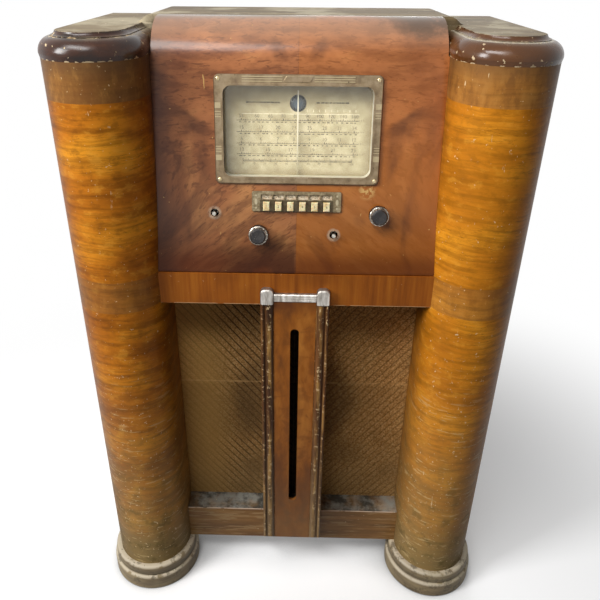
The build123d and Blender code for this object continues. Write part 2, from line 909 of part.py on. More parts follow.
def knob(x, height):
    """Moulded knob: tapered skirt, seat for the ring, dished face, bore with a flat."""
    front = knob_gap + knob_length
    outline = [
        (0, knob_gap),
        (knob_radius, knob_gap),
        (knob_radius - 0.6, knob_gap + 8),
        (knob_radius - 2.2, knob_gap + 8),
        (knob_radius - 2.8, front - 2.5),
        (knob_radius - 5, front),
        (knob_radius - 8, front - 0.6),
        (0, front - 1.4),
    ]
    body = turned(profile(outline))
    return on_panel(x, height, 0) * (body - shaft(knob_length / 2))


def chassis():
    """Sheet-steel chassis: an inverted pan drilled for the controls and the cord grommet."""
    pan = Box(2 * chassis_half_width, chassis_height, chassis_depth)
    inner = Box(2 * (chassis_half_width - sheet), chassis_height, chassis_depth - 2 * sheet)
    pan = pan - Pos(0, -sheet, 0) * inner
    pan = on_panel(0, chassis_foot + chassis_height / 2, chassis_front + chassis_depth / 2) * pan
    for x, height in control_places():
        pan = pan - on_panel(x, height, chassis_front) * Cylinder(bush_radius, 4 * sheet)
    return pan - on_panel(*grommet_place()) * Cylinder(6, 6 * sheet)


def grommet_place():
    return (-chassis_half_width + 40, chassis_foot + 28, chassis_front + chassis_depth)


def cord_grommet():
    """Rubber grommet in the back of the chassis where a mains cord would leave."""
    outline = [(4, 3), (8.5, 3), (8.5, sheet / 2), (6, sheet / 2), (6, -sheet / 2)]
    outline = outline + [(8.5, -sheet / 2), (8.5, -3), (4, -3)]
    ring = turned(profile(outline))
    x, height, depth = grommet_place()
    return on_panel(x, height, depth - sheet / 2) * ring


def on_deck(x, depth, shape):
    """Stand a shape built upwards along +Z on the chassis deck."""
    return on_panel(x, deck, depth) * Rot(-90, 0, 0) * shape


def deck_place(column, row, shape):
    """Stand a shape on the deck's grid: columns from the left, rows from the front."""
    x = deck_margin - chassis_half_width + column * deck_pitch
    return on_deck(x, chassis_front + deck_first_row + row * deck_row_pitch, shape)


def power_transformer():
    """Laminated core between two end bells."""
    core = Pos(0, 0, core_width / 2) * Box(core_width, core_thickness, core_width)
    bell = Box(bell_width, bell_thickness, bell_width)
    bell = chamfer(bell.faces().sort_by(Axis.Y)[0].edges(), bell_thickness / 3)
    front = Pos(0, -(core_thickness + bell_thickness) / 2, core_width / 2) * bell
    back = mirror(front, about=Plane.XZ)
    return deck_place(1, 1.6, core + front + back)


def screen_cans():
    """Aluminium cans: two round filter capacitors and two square coil screens."""
    filter_can = Pos(0, 0, can_height / 2) * Cylinder(can_radius, can_height)
    filter_can = chamfer(filter_can.faces().sort_by(Axis.Z)[-1].edges(), can_radius / 10)
    coil_can = extrude(RectangleRounded(coil_can_width, coil_can_width, 6), coil_can_height)
    coil_can = chamfer(coil_can.faces().sort_by(Axis.Z)[-1].edges(), coil_can_width / 20)
    filters = [deck_place(3, row, filter_can) for row in (1, 2)]
    coils = [deck_place(column, 2, coil_can) for column in (5, 7)]
    return Compound(filters + coils)


def on_valve_places(shape):
    """A row of five valves behind the dial and two at the back."""
    front = [deck_place(column, 0, shape) for column in range(5)]
    return Compound(front + [deck_place(column, 2, shape) for column in (4, 6)])


def valve_bases():
    base = Pos(0, 0, base_height / 2) * Cylinder(base_radius, base_height)
    flange = Pos(0, 0, base_flange / 2) * Cylinder(base_radius + base_flange, base_flange)
    return on_valve_places(base + flange)


def valve_bulbs():
    """Shouldered glass envelopes."""
    foot = base_height
    outline = [
        (0, foot),
        (base_radius * 0.9, foot),
        (bulb_radius, foot + bulb_length * 0.25),
        (bulb_radius, foot + bulb_length * 0.42),
        (bulb_neck, foot + bulb_length * 0.7),
        (bulb_neck, foot + bulb_length * 0.88),
        (bulb_neck * 0.6, foot + bulb_length),
        (0, foot + bulb_length),
    ]
    return on_valve_places(turned(profile(outline)))


def gang_span():
    """Depths of the tuning capacitor's front and back plates."""
    front = chassis_front + bracket_lap + 3
    return front, front + plate_pitch * (2 * plate_count + 5)


def gang_frame():
    """Frame of the tuning capacitor with its two stacks of fixed plates."""
    front, back = gang_span()
    width = 2 * rotor_radius + 14
    rise = gang_height - deck + rotor_radius
    end = Box(width, rise, 2.0)
    bore = Cylinder(shaft_radius + shaft_fit, 20)
    middle = deck + rise / 2
    shape = on_panel(gang_x, middle, front) * end + on_panel(gang_x, middle, back) * end
    foot_length = back - front
    foot = Box(width, 3.0, foot_length)
    shape = shape + on_panel(gang_x, deck + 1.5, (front + back) / 2) * foot
    shape = shape - on_panel(gang_x, gang_height, (front + back) / 2) * Cylinder(
        shaft_radius + shaft_fit, 2 * foot_length
    )
    # the fixed plates stand on two bars beside the rotor
    bar = Box(5, 8, foot_length)
    bar_x = rotor_radius + stator_gap
    for side in (-1, 1):
        shape = shape + on_panel(gang_x + side * bar_x, gang_height - 12, (front + back) / 2) * bar
    blade = Pos(0, -(rotor_radius + 2) / 2 - 5) * Rectangle(2 * bar_x, rotor_radius - 8)
    blade = extrude(blade, plate_thickness)
    for depth in plate_depths(plate_count - 1, plate_pitch / 2):
        shape = shape + on_panel(gang_x, gang_height, depth + plate_thickness / 2) * blade
    return shape


def plate_depths(count, offset):
    """Depths of the plates in two equal stacks, one free place between the stacks."""
    front, _ = gang_span()
    stack = [front + plate_pitch * (i + 2) + offset for i in range(count)]
    return stack + [depth + plate_pitch * (plate_count + 1) for depth in stack]


def gang_rotor():
    """Half-round moving plates on the tuning spindle, half meshed at rest."""
    _, back = gang_span()
    start = drum_depth - 3
    spindle = on_panel(gang_x, gang_height, (start + back + 4) / 2)
    shape = spindle * Cylinder(shaft_radius, back + 4 - start)
    front, _ = gang_span()
    sleeve_length = back - front - 4
    sleeve = Cylinder(shaft_radius + 2, sleeve_length)
    shape = shape + on_panel(gang_x, gang_height, (front + back) / 2) * sleeve
    vane = Circle(rotor_radius) - Pos(rotor_radius, 0) * Rectangle(2 * rotor_radius, 2 * rotor_radius)
    vane = extrude(vane, plate_thickness)
    for depth in plate_depths(plate_count, 0):
        shape = shape + on_panel(gang_x, gang_height, depth + plate_thickness / 2) * vane
    return shape


def dial_drum():
    """Grooved cord drum with round lightening holes and a hub."""
    half = drum_width / 2
    outline = [
        (shaft_radius, half + 2),
        (9, half + 2),
        (9, 1),
        (drum_radius - 5, 1),
        (drum_radius - 5, half),
        (drum_radius + 2, half),
        (drum_radius, 1),
        (drum_radius, -1),
        (drum_radius + 2, -half),
        (drum_radius - 5, -half),
        (drum_radius - 5, -1),
        (shaft_radius, -1),
    ]
    disc = turned(profile(outline))
    for angle in range(0, 360, 60):
        disc = disc - Rot(0, 0, angle) * Pos(drum_radius * 0.55, 0, 0) * Cylinder(10, 20)
    return on_panel(gang_x, gang_height, drum_depth + half) * disc


def facing_back(shape):
    """Turn a shape built along +Z to point to the back of the cabinet at the speaker."""
    return Pos(0, baffle_y + baffle_thickness, speaker_level) * Rot(-90, 0, 0) * shape


def speaker_basket():
    """Pressed basket: rim, cone-shaped wall with windows, and a back plate."""
    neck = magnet_radius - 8
    outline = [
        (speaker_radius, 0),
        (speaker_radius, 3),
        (speaker_hole_radius - 2, 3),
        (neck + 4, speaker_depth - 2),
        (neck + 4, speaker_depth),
        (14, speaker_depth),
        (14, speaker_depth - 2),
        (neck + 2, speaker_depth - 2),
        (speaker_hole_radius - 4, 1),
        (speaker_hole_radius - 4, 0),
    ]
    shape = turned(profile(outline))
    opening = Pos((neck + speaker_hole_radius) / 2, 0, speaker_depth / 2)
    cutter = opening * Box(basket_window, basket_window, speaker_depth * 0.5)
    for angle in range(0, 360, 60):
        shape = shape - Rot(0, 0, angle + 30) * cutter
    for x, y in speaker_bolt_places():
        shape = shape - Pos(x, y, 0) * Cylinder(2.5, 20)
    return facing_back(shape)


def speaker_bolt_places():
    radius = (speaker_radius + speaker_hole_radius) / 2
    offset = radius * sin(radians(45))
    return [(-offset, -offset), (offset, -offset), (-offset, offset), (offset, offset)]


def speaker_cone():
    """Paper cone with its rolled edge and dust cap."""
    neck = magnet_radius - 8
    rim = speaker_hole_radius - 5
    outline = [
        (rim, 1),
        (rim, 2),
        (rim - 4, 3.5),
        (rim - 9, 2.5),
        (20, speaker_depth - 10),
        (10, speaker_depth - 15),
        (0, speaker_depth - 16.5),
        (0, speaker_depth - 17.5),
        (10, speaker_depth - 16),
        (20, speaker_depth - 12),
        (rim - 10, 0.8),
        (rim - 4, 2),
    ]
    return facing_back(turned(profile(outline)))


def speaker_magnet():
    """Field coil in its yoke on the back of the basket."""
    outline = [
        (0, speaker_depth),
        (magnet_radius, speaker_depth),
        (magnet_radius, speaker_depth + 6),
        (magnet_radius - 4, speaker_depth + 6),
        (magnet_radius - 4, speaker_depth + magnet_length - 8),
        (magnet_radius, speaker_depth + magnet_length - 8),
        (magnet_radius, speaker_depth + magnet_length),
        (0, speaker_depth + magnet_length),
    ]
    return facing_back(turned(profile(outline)))


def output_transformer():
    """Small strapped transformer screwed to the baffle beside the loudspeaker."""
    width = output_core_width
    core = Pos(0, 0, width / 2) * Box(width, output_core_thickness, width)
    coil = Pos(0, 0, width / 2) * Box(
        width * 0.6, output_core_thickness + 2 * output_coil_proud, width * 0.6
    )
    foot = Pos(0, 0, sheet / 2) * Box(width + 2 * output_foot_proud, output_core_thickness, sheet)
    offset = speaker_radius * 1.15
    return facing_back(Pos(offset, -offset, 0) * (core + coil + foot))


right_pieces = {
    "column": column,
    "crown": crown,
    "foot": foot,
    "side_panel": side_panel,
    "grille_cloth": grille_cloth,
    "pilaster_post": post,
}
single_pieces = {
    "glue_blocks": glue_blocks,
    "top_board": top_board,
    "top_centre": top_centre,
    "control_panel": control_panel,
    "apron": apron,
    "bottom_rail": bottom_rail,
    "sill": sill,
    "baffle": baffle,
    "slot_panel": slot_panel,
    "pilaster_caps": pilaster_caps,
    "shelf": shelf,
    "rear_rails": rear_rails,
    "escutcheon": escutcheon,
    "dial_glass": dial_glass,
    "dial_scale": dial_scale,
    "dial_bracket": dial_bracket,
    "pointer_rail": pointer_rail,
    "dial_pointer": dial_pointer,
    "eye_tube": eye_tube,
    "eye_base": eye_base,
    "button_plate": button_plate,
    "button_block": button_block,
    "control_bodies": control_bodies,
    "chassis": chassis,
    "cord_grommet": cord_grommet,
    "power_transformer": power_transformer,
    "screen_cans": screen_cans,
    "valve_bases": valve_bases,
    "valve_bulbs": valve_bulbs,
    "gang_frame": gang_frame,
    "gang_rotor": gang_rotor,
    "dial_drum": dial_drum,
    "speaker_basket": speaker_basket,
    "speaker_cone": speaker_cone,
    "speaker_magnet": speaker_magnet,
    "output_transformer": output_transformer,
}


def all_pieces():
    pieces = {name: make() for name, make in single_pieces.items()}
    for name, make in right_pieces.items():
        right, left = both(make())
        pieces[name + "_right"] = right
        pieces[name + "_left"] = left
    for number, x in enumerate(button_places(), start=1):
        pieces["push_button_" + str(number)] = push_button(x)
    tone, volume, band, tuning = control_places()
    pieces["tone_shaft"] = bare_shaft(*tone)
    pieces["band_shaft"] = bare_shaft(*band)
    for name, place, spool in (("volume", volume, False), ("tuning", tuning, True)):
        pieces[name + "_shaft"] = knob_shaft(*place, spool)
        pieces[name + "_knob"] = knob(*place)
    return pieces


os.makedirs("parts", exist_ok=True)
for piece_name, piece in all_pieces().items():
    export_step(piece, "parts/" + piece_name + ".step")
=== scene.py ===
import json
from math import cos, pi, radians, sin
from random import Random

import bmesh
import bpy
from mathutils import Matrix, Vector


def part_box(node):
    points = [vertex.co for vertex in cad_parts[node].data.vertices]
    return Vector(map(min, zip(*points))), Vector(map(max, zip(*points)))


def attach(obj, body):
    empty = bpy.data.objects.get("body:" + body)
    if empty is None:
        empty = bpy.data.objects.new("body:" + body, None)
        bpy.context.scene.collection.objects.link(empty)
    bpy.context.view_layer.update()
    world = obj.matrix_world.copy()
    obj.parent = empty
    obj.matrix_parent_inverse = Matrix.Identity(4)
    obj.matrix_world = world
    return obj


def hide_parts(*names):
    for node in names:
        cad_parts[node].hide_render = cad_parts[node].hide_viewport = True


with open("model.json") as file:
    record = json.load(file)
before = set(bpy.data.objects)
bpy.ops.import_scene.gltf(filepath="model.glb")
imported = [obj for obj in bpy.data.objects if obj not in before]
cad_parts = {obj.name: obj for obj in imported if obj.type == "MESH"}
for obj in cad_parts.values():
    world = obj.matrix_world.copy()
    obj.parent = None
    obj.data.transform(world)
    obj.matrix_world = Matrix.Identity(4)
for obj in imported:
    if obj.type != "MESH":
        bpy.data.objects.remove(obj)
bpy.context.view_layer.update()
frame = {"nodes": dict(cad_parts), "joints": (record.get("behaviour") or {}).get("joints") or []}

# Console radio of about 1940. Metres, +Z up, the front faces -Y.
MM = 0.001


# Columns: bent plywood faced with amber walnut veneer, its grain running across.
# Darker bands sit at the head, level with the apron, and level with the rail.
# Each column is glued to its crown, its foot and its side panel.
def linear(code):
    """An sRGB hex colour as a linear one, or a plain number as a grey."""
    if not isinstance(code, str):
        return (code, code, code, 1.0)
    parts = [int(code[i : i + 2], 16) / 255 for i in (0, 2, 4)]
    return (*[c / 12.92 if c <= 0.04045 else ((c + 0.055) / 1.055) ** 2.4 for c in parts], 1.0)


def surface(name):
    """A new material, the function that adds its nodes, and each point's place on the object."""
    material = bpy.data.materials.new(name)
    material.use_nodes = True
    tree = material.node_tree
    tree.nodes.clear()
    node = adder(tree)
    return material, node, node("TexCoord").outputs["Object"]


def adder(tree):
    """The function that adds one node to a tree, with its settings and links.

    Text is a colour. A tuple that starts with a node is that node's smooth range
    between two levels, as a mask, or between two more numbers.
    """
    usual = {"Math": ("operation", "MULTIPLY"), "MapRange": ("interpolation_type", "SMOOTHSTEP")}

    def node(kind, *inputs, stops=(), steps=False, **settings):
        new = tree.nodes.new("ShaderNode" + kind)
        if kind in usual:
            setattr(new, *usual[kind])
        for key, value in settings.items():
            setattr(new, key, value)
        if stops:
            ramp = new.color_ramp
            ramp.interpolation = "CONSTANT" if steps else "LINEAR"
            stops = [(position, linear(code)) for position, code in stops]
            ramp.elements[0].position, ramp.elements[0].color = stops[0]
            ramp.elements[1].position, ramp.elements[1].color = stops[-1]
            for position, colour in stops[1:-1]:
                ramp.elements.new(position).color = colour
        named = inputs[0] if inputs and isinstance(inputs[0], dict) else dict(enumerate(inputs))
        for key, value in named.items():
            if isinstance(value, tuple) and isinstance(value[0], (bpy.types.Node, bpy.types.NodeSocket)):
                value = node("MapRange", *value)
            if isinstance(value, bpy.types.Node):
                value = value.outputs[0]
            if isinstance(value, bpy.types.NodeSocket):
                tree.links.new(value, new.inputs[key])
            else:
                new.inputs[key].default_value = linear(value) if isinstance(value, str) else value
        return new

    return node


def stretched(node, place, stretch, detail, roughness=0.5, **more):
    """Noise whose waves to the metre differ along the axes."""
    drawn_out = node("Mapping", {"Vector": place, "Scale": stretch})
    return node("TexNoise", {"Vector": drawn_out, "Scale": 1.0, "Detail": detail,
                             "Roughness": roughness, **more})


def figure(node, place, stretch, sway, seed):
    """Wood figure as two greys: streaks along the grain, and fine pores."""
    drift = node("TexNoise", {"Vector": place, "W": seed, "Scale": 6.0, "Detail": 3.0},
                 noise_dimensions="4D")
    moved = node("VectorMath", drift.outputs["Color"], (sway,) * 3, place, operation="MULTIPLY_ADD")
    streaks = node("TexNoise", {"Vector": node("Mapping", {"Vector": moved, "Scale": stretch}),
                                "W": seed, "Scale": 1.0, "Detail": 7.0, "Roughness": 0.62},
                   noise_dimensions="4D")
    return streaks, stretched(node, moved, [4.5 * value for value in stretch], 4.0, 0.7)


def blots(node, place, scale, low, high, detail=5.0, roughness=0.5):
    """Mask of uneven blots, between two levels of a noise."""
    noise = node("TexNoise", {"Vector": place, "Scale": scale, "Detail": detail, "Roughness": roughness})
    return node("MapRange", noise, low, high)


def specks(node, place, scale, amount, stretch=(1, 1, 1)):
    """Mask of scattered chips and scratches: amount is the noise level they start at."""
    drawn_out = node("Mapping", {"Vector": place, "Scale": stretch})
    return blots(node, drawn_out, scale, amount, amount + 0.03, 4.0, 0.6)


def facing(node, axis, low, high):
    """Mask of what faces along an axis of the object."""
    normal = node("SeparateXYZ", node("NewGeometry").outputs["Normal"])
    return node("MapRange", normal.outputs[axis], low, high)


def coats(node, colour, layers):
    """Lay colours over one another: each a mask, a share of it, and the colour."""
    for mask, share, code in layers:
        colour = node("MixRGB", node("Math", mask, share), colour, code)
    return colour


def shade(node, colour, roughness, reliefs, more={}):
    """Close a material with its shader. A relief is a height, its depth in mm and its strength."""
    below = {}
    for height, depth, strength in reliefs:
        below = {"Normal": node("Bump", {"Height": height, "Distance": depth * MM,
                                         "Strength": strength, **below})}
    node("OutputMaterial", node("BsdfPrincipled", {"Base Color": colour, "Roughness": roughness,
                                                   **more, **below}))


def paint(material, *nodes):
    """Put a material on CAD nodes."""
    for name in nodes:
        frame["nodes"][name].data.materials[0] = material


apron_low, apron_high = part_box("apron")
rail_low, rail_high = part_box("bottom_rail")
column_low, column_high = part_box("column_right")
head_band = 56 * MM
seam = 0.9 * MM

material, node, place = surface("amber_walnut_veneer")
x, y, z = node("SeparateXYZ", place).outputs
streaks, pores = figure(node, place, (7, 7, 95), 0.035, 2.0)
clouds = stretched(node, place, (7, 7, 15), 4.0)
colour = node("ValToRGB", clouds, stops=[(0.32, "985412"), (0.50, "c2741a"), (0.68, "dd9124")])
mottle = stretched(node, place, (38, 38, 60), 6.0, 0.65)
# A few growth rings show as narrow dark lines that wander round the column
rings = node("Math", node("Math", streaks, 6.0), node("Math", z, 15.0), operation="ADD")
rings = node("MapRange", node("Math", node("Math", rings, 2 * pi), operation="SINE"), 0.93, 1.0)
broken = node("MapRange", clouds, 0.46, 0.60)
# The bands are a browner cut, and the lacquer on them has gone dull
levels = (rail_high.z, apron_low.z, apron_high.z, column_high.z - head_band)
bands = node("ValToRGB", z, steps=True, stops=[
    (0.0, 0.30), (levels[0], 0), (levels[1], 0.56), (levels[2], 0), (levels[3], 0.86)])
blotches = stretched(node, place, (60, 60, 30), 5.0, 0.7)
# Painted light: the bands are painted lighter on the right column
browner = coats(node, node("MixRGB", (x, -0.2, 0.2), "80592f", "a87236"), [
    ((streaks, 0.44, 0.66), 0.45, "5f3d1d"),
    ((blotches, 0.46, 0.62), 0.55, "6b4526"),
    ((blotches, 0.48, 0.36), 0.35, "ba8748")])
under_crown = node("MapRange", z, column_high.z - 30 * MM, column_high.z)
seams = node("ValToRGB", z, steps=True, stops=[(0.0, 0)] + [
    stop for level in levels for stop in ((level - seam, 1), (level + seam, 0))])
pale_seam = node("Math", seams, specks(node, place, 45.0, 0.55))
# Grey dust and scuffs gather towards the floor
low_down = node("MapRange", z, 0.56, 0.0)
grime_and_shade = node("TexNoise", {"Vector": place, "Scale": 26.0, "Detail": 6.0, "Roughness": 0.65})
dust = node("Math", low_down, grime_and_shade)
khaki = node("MapRange", z, 0.19, 0.05)
marks = node("Math", (grime_and_shade, 0.50, 0.64), node("Math", low_down, 0.55))
threshold = node("MapRange", z, 0.9, 0.1, 0.68, 0.64)
chips = node("TexNoise", {"Vector": place, "Scale": 190.0, "Detail": 4.0, "Roughness": 0.6})
chips = node("MapRange", node("Math", chips, threshold, operation="SUBTRACT"), 0.0, 0.03)
scratches = specks(node, place, 75.0, 0.71, (2.2, 2.2, 0.4))
worn = node("Math", chips, scratches, operation="MAXIMUM")
dry = node("Math", specks(node, place, 50.0, 0.60, (0.5, 0.5, 3.2)), (z, 0.62, 0.30))
# Painted shade: the colour goes darker where the surface is seen along it,
# on the column's flanks
grazing_shade = node("MapRange", node("LayerWeight", {"Blend": 0.40}).outputs["Facing"], 0.25, 0.85)
# The back of the bent plywood is bare
radius = (column_high.x - column_low.x) / 2
spoke = node("CombineXYZ", node("Math", x, operation="ABSOLUTE"), y)
spoke = node("VectorMath", spoke, (column_low.x + radius, column_low.y + radius, 0.0),
             operation="DISTANCE")
spoke = spoke.outputs["Value"]
inside = node("MapRange", spoke, radius - 1.0 * MM, radius - 1.5 * MM)
inside = node("Math", inside, facing(node, "Y", 0.5, 0.8), operation="MAXIMUM")
bare = node("MixRGB", (streaks, 0.35, 0.65), "a9834f", "7d5a33")
gloss = node("MapRange", dust, 0.0, 1.0, 0.40, 0.80)
colour = coats(node, colour, [
    ((streaks, 0.44, 0.62), 0.58, "744008"),
    ((mottle, 0.50, 0.66), 0.42, "673809"),
    ((mottle, 0.48, 0.34), 0.34, "eaa63c"),
    # Painted light: the right column is painted brighter, as it gets less light
    ((x, -0.2, 0.2), 0.20, "eb9c20"),
    (node("Math", rings, broken), 0.42, "5d330b"),
    ((pores, 0.56, 0.74), 0.34, "4f2c0d"),
    (bands, 1.0, browner),
    (under_crown, 0.55, "5a442f"),
    (seams, 0.70, "35200f"),
    (pale_seam, 1.0, "c9a877"),
    (low_down, 0.30, "94703c"),
    (dust, 1.0, "ae9762"),
    (khaki, 0.62, "857852"),
    (marks, 1.0, "54431f"),
    (worn, 0.9, "e3c99c"),
    (dry, 0.5, "d9bd86"),
    (grazing_shade, 0.48, "241204"),
    (inside, 1.0, bare)])
shade(node, colour, gloss, [(pores, 0.12, 0.6)], {"Specular IOR Level": 0.12})
paint(material, "column_right", "column_left")


# Crowns: a round nosing bent about each column head, with a groove and a thin
# bead under the top board. Nearly black lacquer, chipped to pale wood along
# its lower edge and in the groove.
def wood(name, stretch, sway, seed, shades):
    """A new wood: what surface() gives, its streaks and pores, and the streaks' colour."""
    material, node, place = surface(name)
    streaks, pores = figure(node, place, stretch, sway, seed)
    return material, node, place, streaks, pores, node("ValToRGB", streaks, stops=shades)


crown_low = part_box("crown_right")[0]
material, node, place, _, pores, colour = wood("dark_lacquer_chipped", (18, 18, 60), 0.02, 5.0, [
    (0.35, "221006"), (0.55, "3e1f0d"), (0.75, "664422")])
x, _, z = node("SeparateXYZ", place).outputs
# The right one is browner, its lacquer thinned by wear
thinned = node("MapRange", x, -0.2, 0.2)
nosing_top = crown_low.z + 27.5 * MM
lower_edge = node("MapRange", z, crown_low.z + 2.2 * MM, crown_low.z + 0.6 * MM)
upper_edge = node("Math", (z, nosing_top - 1.2 * MM, nosing_top - 0.2 * MM),
                  (z, nosing_top + 1.6 * MM, nosing_top + 0.4 * MM))
wear = node("Math", lower_edge, node("Math", upper_edge, 0.8), operation="MAXIMUM")
ragged = node("TexNoise", {"Vector": place, "Scale": 120.0, "Detail": 4.0})
worn = node("Math", ragged, node("Math", wear, 0.16), operation="ADD")
chips = node("MapRange", worn, 0.67, 0.685)
groove = node("Math", node("Math", z, nosing_top, operation="SUBTRACT"), operation="ABSOLUTE")
groove = node("Math", (groove, 1.1 * MM, 0.5 * MM), thinned)
drift = node("TexNoise", {"Vector": place, "Scale": 30.0, "Detail": 5.0})
dust = node("Math", facing(node, "Z", 0.80, 1.0), (drift, 0.3, 0.7))
gloss = node("MapRange", drift, 0.35, 0.65, 0.17, 0.38)
gloss = node("Math", gloss, node("Math", chips, 0.5), operation="ADD")
colour = coats(node, colour, [
    (thinned, 0.60, "653d18"),
    (chips, 1.0, "cdb691"),
    (groove, 0.75, "d5cab4"),
    (dust, 0.6, "97896f")])
shade(node, colour, gloss, [(pores, 0.05, 0.5), (chips, -0.25, 0.8)], {"Specular IOR Level": 0.38})
paint(material, "crown_right", "crown_left")


# Feet: turned discs with two rings, screwed up into the column blocks. Brown
# lacquer under khaki dust, rubbed to pale wood on the rounded edges.
foot_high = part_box("foot_right")[1]
step_level = 34 * MM
material, node, place, _, _, colour = wood("dusty_turned_foot", (14, 14, 60), 0.02, 9.0, [
    (0.32, "5d4d37"), (0.52, "806e50"), (0.72, "a08c66")])
z = node("SeparateXYZ", place).outputs["Z"]
olive = node("MapRange", z, foot_high.z - 10 * MM, foot_high.z - 14 * MM)
olive = node("Math", olive, (z, step_level, step_level + 3 * MM))
low_ring = node("Math", (z, step_level - 7 * MM, step_level - 2 * MM),
                (z, step_level + 1 * MM, step_level - 1 * MM))
high_ring = node("MapRange", z, foot_high.z - 6 * MM, foot_high.z - 1 * MM)
edges = node("Math", low_ring, high_ring, operation="MAXIMUM")
rubbed = node("Math", edges, blots(node, place, 60.0, 0.34, 0.46, 6.0))
dust = node("TexNoise", {"Vector": place, "Scale": 16.0, "Detail": 5.0})
colour = coats(node, colour, [
    (olive, 0.55, "4c4330"),
    (rubbed, 0.8, "cfc2aa"),
    ((dust, 0.42, 0.65), 0.35, "a0916f"),
    (blots(node, place, 48.0, 0.52, 0.62, 6.0, 0.7), 0.62, "453822"),
    (specks(node, place, 170.0, 0.66), 0.8, "2f2718")])
shade(node, colour, 0.58, [(dust, 0.25, 0.5), (rubbed, -0.2, 0.6)])
paint(material, "foot_right", "foot_left")


# Side panels: plain walnut plywood, upright grain, with a leg at the back.
# Rubbed and dull, darker than the front.
material, node, place, _, pores, colour = wood("walnut_side_lacquer", (30, 34, 2.2), 0.025, 13.0, [
    (0.30, "40210d"), (0.50, "6f421c"), (0.70, "915d2c")])
z = node("SeparateXYZ", place).outputs["Z"]
dust = node("Math", (z, 0.45, 0.0), node("TexNoise", {"Vector": place, "Scale": 18.0, "Detail": 5.0}))
colour = coats(node, colour, [
    (dust, 1.0, "958264"),
    (specks(node, place, 70.0, 0.72, (1, 2.4, 0.5)), 1.0, "c6a677")])
shade(node, colour, 0.46, [(pores, 0.15, 0.6)], {"Specular IOR Level": 0.12})
paint(material, "side_panel_right", "side_panel_left")


# Inside woodwork: baffle, shelf, rear rails and glue blocks of bare softwood and
# plywood, with hide glue runs, screws and the grey dust of eighty years.
material, node, place, _, pores, colour = wood("bare_wood_aged", (4, 60, 60), 0.02, 17.0, [
    (0.30, "7b5a35"), (0.52, "a37f50"), (0.74, "bd9c6b")])
dust = node("Math", facing(node, "Z", 0.2, 0.9), blots(node, place, 24.0, 0.3, 0.6, 6.0))
colour = coats(node, colour, [
    (dust, 0.75, "77705f"),
    (blots(node, place, 5.0, 0.52, 0.72, 6.0), 0.6, "5d4227")])
shade(node, colour, 0.78, [(pores, 0.25, 0.7)])
paint(material, "glue_blocks", "baffle", "shelf", "rear_rails")


# Top: a thin board with a lobe over each column and a raised middle behind the
# panel's roll. Its lacquer has perished to a dusty olive grey with pale wood
# showing at the edges.
top_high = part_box("top_board")[1]
material, node, place, _, pores, colour = wood("perished_top_lacquer", (3, 46, 46), 0.03, 21.0, [
    (0.30, "3b3020"), (0.50, "6b5a3d"), (0.72, "8e7c58")])
z = node("SeparateXYZ", place).outputs["Z"]
patches = node("TexNoise", {"Vector": place, "Scale": 9.0, "Detail": 7.0, "Roughness": 0.65})
edge = node("Math", (z, top_high.z - 2.0 * MM, top_high.z - 1.0 * MM),
            (z, top_high.z - 0.1 * MM, top_high.z - 0.4 * MM))
rubbed = node("Math", edge, specks(node, place, 100.0, 0.67), operation="MAXIMUM")
colour = coats(node, colour, [
    ((patches, 0.46, 0.60), 0.75, "b7aa8c"),
    ((patches, 0.66, 0.74), 1.0, "d3c8ac"),
    (node("Math", rubbed, blots(node, place, 70.0, 0.40, 0.55, 4.0)), 1.0, "d5c6a6")])
shade(node, colour, 0.58, [(pores, 0.12, 0.5), (patches, 0.2, 0.6)])
paint(material, "top_board", "top_centre")


# Control panel: bent plywood faced with two book-matched leaves of walnut butt,
# met on a seam up the middle. It is scribed to the columns and glued to the
# shelf and the apron. Worn rings surround the control holes.
turn_joints = {joint["name"]: joint for joint in frame["joints"]}
knob_place = Vector(turn_joints["tuning_turn"]["pos_m"])
outward = Vector(turn_joints["tuning_turn"]["axis"]).normalized()
across = Vector((1, 0, 0))
up_slope = outward.cross(across)
panel_origin = Vector((0, knob_place.y, knob_place.z))
panel_turn = Matrix((across, up_slope, outward)).transposed()
panel_low, panel_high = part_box("control_panel")


def on_panel(x, height, proud=0.0):
    """Matrix of a place on the panel: across, up the slope and out of its face."""
    point = panel_origin + across * x + up_slope * height + outward * proud
    return Matrix.Translation(point) @ panel_turn.to_4x4()


material, node, place = surface("walnut_butt_lacquer")
x, y, z = node("SeparateXYZ", place).outputs
mirror_x = node("Math", x, operation="ABSOLUTE")
# Low down the figure falls away from the seam like a forked branch
fork = node("MapRange", z, panel_low.z + 0.24, panel_low.z + 0.04)
fall = node("Math", node("Math", mirror_x, fork), 0.55)
level = node("Math", z, fall, operation="ADD")
leaf = node("CombineXYZ", {"X": mirror_x, "Y": y, "Z": level})
streaks, pores = figure(node, leaf, (16, 16, 62), 0.040, 29.0)
clouds = node("TexNoise", {"Vector": leaf, "Scale": 9.0, "Detail": 4.0, "Distortion": 0.5})
colour = node("ValToRGB", clouds, stops=[(0.30, "885030"), (0.50, "b47245"), (0.70, "d89c60")])
# Curls in the butt wood: short dark strokes that lie across the leaf
curls = stretched(node, leaf, (60, 60, 210), 3.0, Distortion=1.2)
right_half = node("MapRange", x, -0.4 * MM, 0.4 * MM)
low_half = node("MapRange", z, panel_high.z - 0.06, panel_low.z + 0.12)
knots = node("TexNoise", {"Vector": leaf, "Scale": 11.0, "Detail": 6.0, "Distortion": 0.8})
lower = node("MapRange", z, panel_low.z + 0.20, panel_low.z + 0.05)
# Painted shade low on the left, cast by the left column
lower_left_shade = node("Math", (x, -0.05, -0.19), node("Math", lower, 0.45))
foot_shade = node("MapRange", z, panel_low.z + 52 * MM, panel_low.z + 12 * MM)
# Soot below the left knob stops at the seam
sooty = node("MapRange", z, panel_low.z + 64 * MM, panel_low.z + 30 * MM)
for mask in (node("MapRange", x, -0.15, -0.07), node("MapRange", x, 2 * MM, -4 * MM),
             blots(node, place, 22.0, 0.30, 0.55)):
    sooty = node("Math", sooty, mask)
